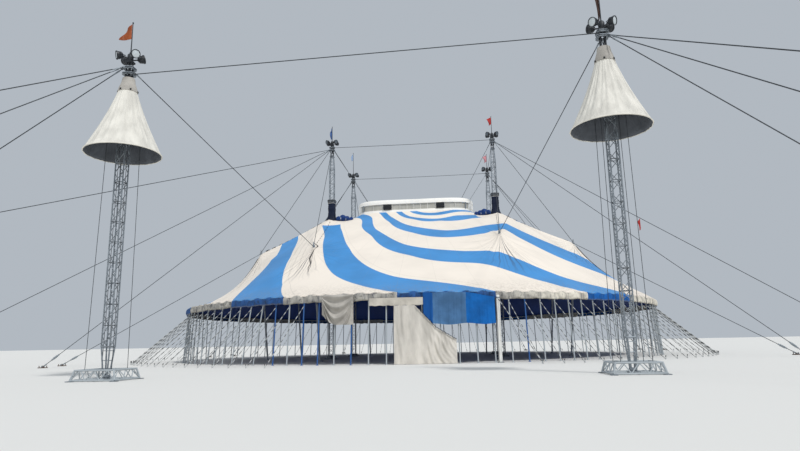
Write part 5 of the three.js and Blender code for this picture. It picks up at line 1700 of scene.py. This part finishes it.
def hang_cloth(name, node, span, top_at, bottom_at, fold_at, finishes, slot, columns=90, rows=26):
    """Curtain along the front eave. fold_at gives how far each point stands out."""
    sizes = bpy.context.scene.tent_sizes
    share, fall = np.meshgrid(np.linspace(0, 1, columns), np.linspace(0, 1, rows), indexing="ij")
    x = span[0] + (span[1] - span[0]) * share
    top, bottom = top_at(share), bottom_at(share)
    z = top + (bottom - top) * fall
    stand = pole_clearance(z) + fold_at(share, fall)
    outer = on_eave(x, stand + sizes.cloth / 2, z)
    inner = on_eave(x, stand, z)
    form = Form()
    form.cloth(outer, inner, grid=np.stack([share, fall], axis=2))
    piece = form.piece(name, finishes, slot, 75)
    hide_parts(node)
    cut_size(outer)
    cut_area(outer)
    return piece


def upright_folds(count, depth, seed):
    """Upright folds that deepen as the cloth falls."""
    def stand(share, fall):
        turn = share * count * 2 * math.pi
        wave = np.sin(turn + seed) + 0.5 * np.sin(turn * 1.83 + 2 * seed + fall)
        wave = wave + 0.3 * np.sin(turn * 3.1 + fall * 2)
        return depth * (1 + wave / 1.8) / 2 * (0.35 + 0.65 * fall)
    return stand


class TENT_OT_entrance(bpy.types.Operator):
    """Entrance: the caught-up swag, the straight fascia, the wall wing, the blue wall and its post"""

    bl_idname = "tent.entrance"
    bl_label = "Entrance cloths"

    def execute(self, context):
        def swag_bottom(share):
            turn = np.clip(share / SWAG_ROUND, 0, 1) * math.pi / 2
            return SWAG_CORNER - (SWAG_CORNER - SWAG_BOTTOM) * np.sin(turn)

        def swag_folds(share, fall):
            hang = 0.3 + 0.7 * np.sin(math.pi * np.clip(share * 1.04, 0.02, 0.98)) ** 0.8
            arcs = np.minimum(fall / hang, 1.6) * 2.8 * 2 * math.pi
            fold = (0.5 + 0.5 * np.sin(arcs + 0.4)) ** 1.4
            return 0.3 * fold * np.sin(math.pi * np.clip(share * 0.9 + 0.08, 0, 1)) + 0.02

        hang_cloth("swag", "entrance_swag", SWAG_SPAN, lambda s: SWAG_TOP + 0 * s, swag_bottom, swag_folds,
                   ["shaded_swag_cloth"], "entrance_fabric", 60, 40)
        hang_cloth("fascia", "entrance_fascia", FASCIA_SPAN, lambda s: FASCIA_TOP + 0 * s,
                   lambda s: FASCIA_BOTTOM + 0.02 * np.sin(s * 40), upright_folds(7, 0.03, 1.0),
                   ["grey_entrance_cloth"], "entrance_fabric", 90, 8)

        def wing_top(share):
            x = WING_SPAN[0] + share * (WING_SPAN[1] - WING_SPAN[0])
            return np.interp(x, *zip(*WING_EDGE))

        def wing_folds(share, fall):
            upright = np.sin(2 * math.pi * (6.3 * share + 0.3 * np.sin(2.3 * fall + 4 * share)))
            slant = np.sin(2 * math.pi * (5.7 * share - 2.6 * fall + 0.35 * np.sin(5 * share + 3 * fall)))
            across = np.clip((share - 0.22) / 0.3, 0, 1)
            warp = 2.6 * np.sin(7 * share + 4 * fall)
            fine = np.sin(2 * math.pi * (12.7 * share - 3.1 * fall * across) + warp)
            uneven = 0.62 + 0.38 * np.sin(9 * share + 2.4 * fall)
            main = upright + (slant - upright) * across
            return 0.15 * (0.5 + (0.3 * main + 0.2 * fine) * uneven) * (0.4 + 0.6 * np.clip(fall * 3, 0, 1))

        hang_cloth("wall_wing", "entrance_wall_wing", WING_SPAN, wing_top, lambda s: 0.02 + 0 * s,
                   wing_folds, ["pale_wing_cloth"], "wall_fabric", 140, 40)

        form = Form()
        share = np.linspace(0.35, 1, 24)
        x = WING_SPAN[0] + share * (WING_SPAN[1] - WING_SPAN[0])
        top = wing_top(share)
        edge = on_eave(x, pole_clearance(top) + 0.14, top + 0.03)
        form.tube(edge, 0.035, 8, 0, 0.5)
        for place in edge[1::2]:
            form.tube([place + (-0.06, 0.02, 0.1), place + (0.06, -0.03, -0.16)], 0.014, 6, 1)
        form.piece("wing_lacing", ["navy_sleeve_cloth", "strap_webbing"], "wall_fabric")

        def blue_top(share):
            return BLUE_TOP - 0.35 * np.clip((share - 0.6) / 0.4, 0, 1) - 0.04 * np.abs(np.sin(share * 9))

        def blue_bottom(share):
            x = BLUE_SPAN[0] + share * (BLUE_SPAN[1] - BLUE_SPAN[0])
            return np.maximum(BLUE_BOTTOM + 0.05 * np.sin(share * 13), np.interp(x, *zip(*WING_EDGE)) + 0.05)

        blue = hang_cloth("blue_wall", "entrance_blue_wall", BLUE_SPAN, blue_top, blue_bottom,
                          upright_folds(9, 0.14, 0.5), BLUE_FINISHES, "wall_fabric", 120, 26)
        for face in blue.data.polygons:
            x = face.center[0] / MODEL_SCALE
            face.material_index = int(x > BLUE_SEAMS[0]) + int(x > BLUE_SEAMS[1])
        form = Form()
        px, py, _ = on_eave(np.array(POST_X), POST_WIDTH / 2 + 0.01, 0.0)
        form.box((px, py, POST_HEIGHT / 2), (POST_WIDTH, POST_WIDTH, POST_HEIGHT), POST_TURN, 0, 0.02)
        form.box((px, py, 0.03), (0.42, 0.42, 0.05), POST_TURN, 1, 0.01)
        form.box((px, py, POST_HEIGHT - 0.2), (POST_WIDTH + 0.03, POST_WIDTH + 0.03, 0.1), POST_TURN, 1, 0.01)
        foot = on_eave(np.array(POST_X + 1.4), 3.6, 0.0)
        form.tube([(px, py - 0.1, POST_HEIGHT - 0.25), (foot[0], foot[1], 0.1)], 0.03, 8, 2)
        form.tube([(foot[0], foot[1], 0), (foot[0], foot[1], 0.3)], 0.035, 8, 1)
        post = form.piece("post", ["white_enamelled_steel", "galvanised_steel",
                                   "strap_webbing"], "post_paint")
        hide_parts("entrance_post")
        return {"FINISHED"}


class TENT_OT_forecourt(bpy.types.Operator):
    """Two lattice masts on truss bases with pleated canvas cones, and their cables"""

    bl_idname = "tent.forecourt"
    bl_label = "Forecourt masts"

    def execute(self, context):
        sizes = context.scene.tent_sizes
        tree = bpy.data.node_groups["lattice_mast"]
        for side, name in NAMED_SIDES:
            x, y = side * CONE_MAST_X, CONE_MAST_Y
            mast = grown(f"lattice_forecourt_{name}", tree, "galvanised_steel", {
                "Width": CONE_MAST_WIDTH, "Bottom": CONE_LATTICE_BOTTOM, "Top": CONE_LATTICE_TOP, "Bay": 0.52,
                "Chord": sizes.chord * 0.9, "Brace": sizes.brace * 0.9, "Place": (x, y + FORWARD_SHIFT, 0)})
            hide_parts(f"forecourt_mast_{name}")
            form = Form()
            self.legs(form, x, y, sizes)
            form.piece(f"legs_forecourt_{name}", ["galvanised_steel"], "mast_steel")
            form = Form()
            self.base(form, x, y)
            base = form.piece(
                f"truss_base_{name}", ["grey_enamelled_steel", "galvanised_steel"], "base_steel")
            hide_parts(f"forecourt_base_{name}")
            self.cone(x, y, name, sizes)
            form = Form()
            add_ring(form, x, y, CONE_STAY_RING, 1)
            for ax, ay in CONE_ANCHORS:
                end = (side * ax, ay, ANCHOR_HEIGHT / 2)
                add_stay(form, ring_edge(x, y, CONE_STAY_RING, end), end, sizes.cable)
                add_anchor(form, side * ax, ay)
            foot, tip = pole_points(side, -1, "inner")
            neck = tip + (foot - tip) * 0.2 / tip[2]
            add_stay(form, ring_edge(x, y, CONE_STAY_RING, neck), neck - (0, 0.1, 0), sizes.cable, False)
            stays = form.piece(f"cables_forecourt_{name}", ROPE_FINISHES, "cable_steel")
            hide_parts(f"forecourt_stays_{name}")
        form = Form()
        low, high = CONE_TIE_RINGS
        add_ring(form, -CONE_MAST_X, CONE_MAST_Y, low, 1)
        add_ring(form, CONE_MAST_X, CONE_MAST_Y, high, 1)
        reach = CONE_MAST_X - RING_REACH
        form.tube([(-reach, CONE_MAST_Y, low), (reach, CONE_MAST_Y, high)], sizes.cable / 2, 8)
        tie = form.piece("cable_forecourt_tie", ROPE_FINISHES, "cable_steel")
        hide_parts("forecourt_tie_cable")
        return {"FINISHED"}

    @staticmethod
    def legs(form, x, y, sizes):
        """Four legs that come down from the lattice to a narrow foot."""
        half = (CONE_MAST_WIDTH - sizes.chord) / 2
        for cx, cy in CORNERS:
            top = (x + cx * half, y + cy * half, CONE_LATTICE_BOTTOM + 0.03)
            form.tube([(x + cx * 0.1, y + cy * 0.1, 0.2), top], sizes.chord * 0.45, 8)
        for level in range(3):
            share = (level + 0.6) / 3
            add_rungs(form, x, y, 0.2 + (CONE_LATTICE_BOTTOM - 0.2) * share, 0.1 + (half - 0.1) * share,
                      sizes.brace * 0.45)
        form.box((x, y, 0.2), (0.3, 0.3, 0.14), bevel=0.02)
        form.box((x, y, CONE_LATTICE_TOP), (CONE_MAST_WIDTH, CONE_MAST_WIDTH, 0.06), bevel=0.01)

    @staticmethod
    def base(form, x, y):
        """Square box truss that the mast stands on."""
        low = np.array([BASE_WIDTH / 2 - 0.045, BASE_WIDTH / 2 - 0.045, 0])
        high = low - (BASE_SPLAY, BASE_SPLAY, 0)
        low_centre, high_centre = np.array([x, y, 0.06]), np.array([x, y, BASE_HEIGHT - 0.045])
        for first, second in zip(SQUARE, SQUARE[1:] + SQUARE[:1]):
            start, end = np.array([*first, 0]), np.array([*second, 0])
            lows, highs = [], []
            for share in np.arange(7) / 6:
                place = start + (end - start) * share
                lows.append(low_centre + place * low)
                highs.append(high_centre + place * high)
            for bar in ([lows[0], lows[-1]], [highs[0], highs[-1]], [lows[0], highs[0]]):
                form.tube(bar, 0.045, 10)
            for i in range(6):
                form.tube([lows[i], highs[i + 1]] if i % 2 == 0 else [highs[i], lows[i + 1]], 0.025, 8)
            form.box((lows[0][0], lows[0][1], 0.02), (0.3, 0.3, 0.04), 0, 1, 0.01)
        for reach in (low * (1, 0, 0), low * (0, 1, 0)):
            form.tube([low_centre - reach, low_centre + reach], 0.045, 10)
        form.box((x, y, 0.08), (0.5, 0.5, 0.08), 0, 1, 0.01)

    @staticmethod
    def cone(x, y, name, sizes):
        """Pleated canvas cone with a dark lining, a hem, a collar and its clips."""
        turns = np.linspace(0, 2 * math.pi, CONE_POINTS, endpoint=False)
        pleat = (np.cos(17 * turns + 0.4) + 0.7 * np.cos(29 * turns + 1.7) + 0.6 * np.cos(41 * turns)) / 2.3
        outer = []
        inner = []
        for share in np.linspace(0, 1, 26):
            radius = CONE_SHOULDER_RADIUS + (CONE_RIM_RADIUS - 0.03 - CONE_SHOULDER_RADIUS) * share
            radius = radius - 0.1 * math.sin(math.pi * share) * (1 - 0.3 * share)
            z = CONE_SHOULDER_HEIGHT + (CONE_RIM_HEIGHT + 0.05 - CONE_SHOULDER_HEIGHT) * share
            depth = 0.012 + 0.075 * share * math.cos(share * math.pi / 2) ** 0.5
            shape = radius + depth * (pleat - 0.6)
            z_ring = z - 0.006 * share * pleat
            outer.append(ring_points(shape, turns, z_ring, x, y))
            inner.append(ring_points(shape - sizes.cloth, turns, z_ring - sizes.cloth * 0.1, x, y))
        form = Form()
        form.loft(outer[::-1] + inner, closed=True)
        form.finishes = [0 if i < len(outer) * CONE_POINTS else 1 for i in range(len(form.faces))]
        cone = form.piece(f"canvas_cone_{name}", ["cream_cone_canvas", "dark_cone_lining"], "cone_fabric", 75)
        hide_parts(f"cone_cap_{name}")
        form = Form()
        form.tube(np.vstack([outer[-1], outer[-1][:1]]), 0.028, 6)
        neck, shoulder = CONE_COLLAR_RADIUS, CONE_SHOULDER_RADIUS
        collar = [(neck - 0.04, CONE_COLLAR_TOP), (neck - 0.04, CONE_COLLAR_TOP - 0.3),
                  (shoulder - 0.06, CONE_SHOULDER_HEIGHT - 0.02), (shoulder + 0.03, 14.9),
                  (shoulder + 0.01, 15.05), (0.4, 15.3), (0.35, 15.45), (neck + 0.02, 15.62),
                  (neck, CONE_COLLAR_TOP)]
        form.loft([ring_points(r, turns[::4], z, x, y) for r, z in collar], 1, True)
        for turn in range(15, 360, 60):
            px, py, _ = polar(CONE_SHOULDER_RADIUS + 0.04, turn, 0)
            form.box((x + px, y + py, 14.95), (0.05, 0.08, 0.1), turn, 2, 0.01)
        for turn in (45, 135, 225, 315):
            px, py, _ = polar(HALYARD_RADIUS, turn, 0)
            form.tube([(x + px, y + py, CONE_RIM_HEIGHT + 1.6),
                       (x + px * 1.2, y + py * 1.2, BASE_HEIGHT - 0.05)], 0.014, 5, 3)
        form.piece(f"collar_and_lines_{name}", ["pale_hem_canvas", "shaded_swag_cloth", "black_box_enamel",
                                                "weathered_wire_rope"], "cone_fabric", 60)


OPERATORS = (
    TENT_OT_stage, TENT_OT_canopy, TENT_OT_valance, TENT_OT_side_poles, TENT_OT_masts, TENT_OT_heads,
    TENT_OT_stays, TENT_OT_quarter_poles, TENT_OT_cupola, TENT_OT_sleeves, TENT_OT_ridge_ropes,
    TENT_OT_entrance, TENT_OT_forecourt)


class TENT_PT_panel(bpy.types.Panel):
    """Lists the tent's sizes, colours and pieces in the sidebar"""

    bl_label = "Big Top"
    bl_idname = "TENT_PT_panel"
    bl_space_type = "VIEW_3D"
    bl_region_type = "UI"
    bl_category = "Big Top"

    def draw(self, context):
        for group in (context.scene.tent_sizes, context.scene.tent_colours):
            for key in group.bl_rna.properties.keys():
                if key not in ("rna_type", "name"):
                    self.layout.prop(group, key)
        for operator in OPERATORS:
            self.layout.operator(operator.bl_idname)


CLASSES = (TentSizes, TentColours, *OPERATORS, TENT_PT_panel)


def register():
    """Registers the classes and hangs the sizes and colours on the scene."""
    for item in CLASSES:
        bpy.utils.register_class(item)
    bpy.types.Scene.tent_sizes = bpy.props.PointerProperty(type=TentSizes)
    bpy.types.Scene.tent_colours = bpy.props.PointerProperty(type=TentColours)


def unregister():
    """Takes the classes and their fields off again."""
    del bpy.types.Scene.tent_colours
    del bpy.types.Scene.tent_sizes
    for item in reversed(CLASSES):
        bpy.utils.unregister_class(item)


def main():
    """Makes every piece in order."""
    register()
    for operator in OPERATORS:
        group, name = operator.bl_idname.split(".")
        getattr(getattr(bpy.ops, group), name)()
    bpy.context.view_layer.update()


if __name__ == "__main__":
    main()
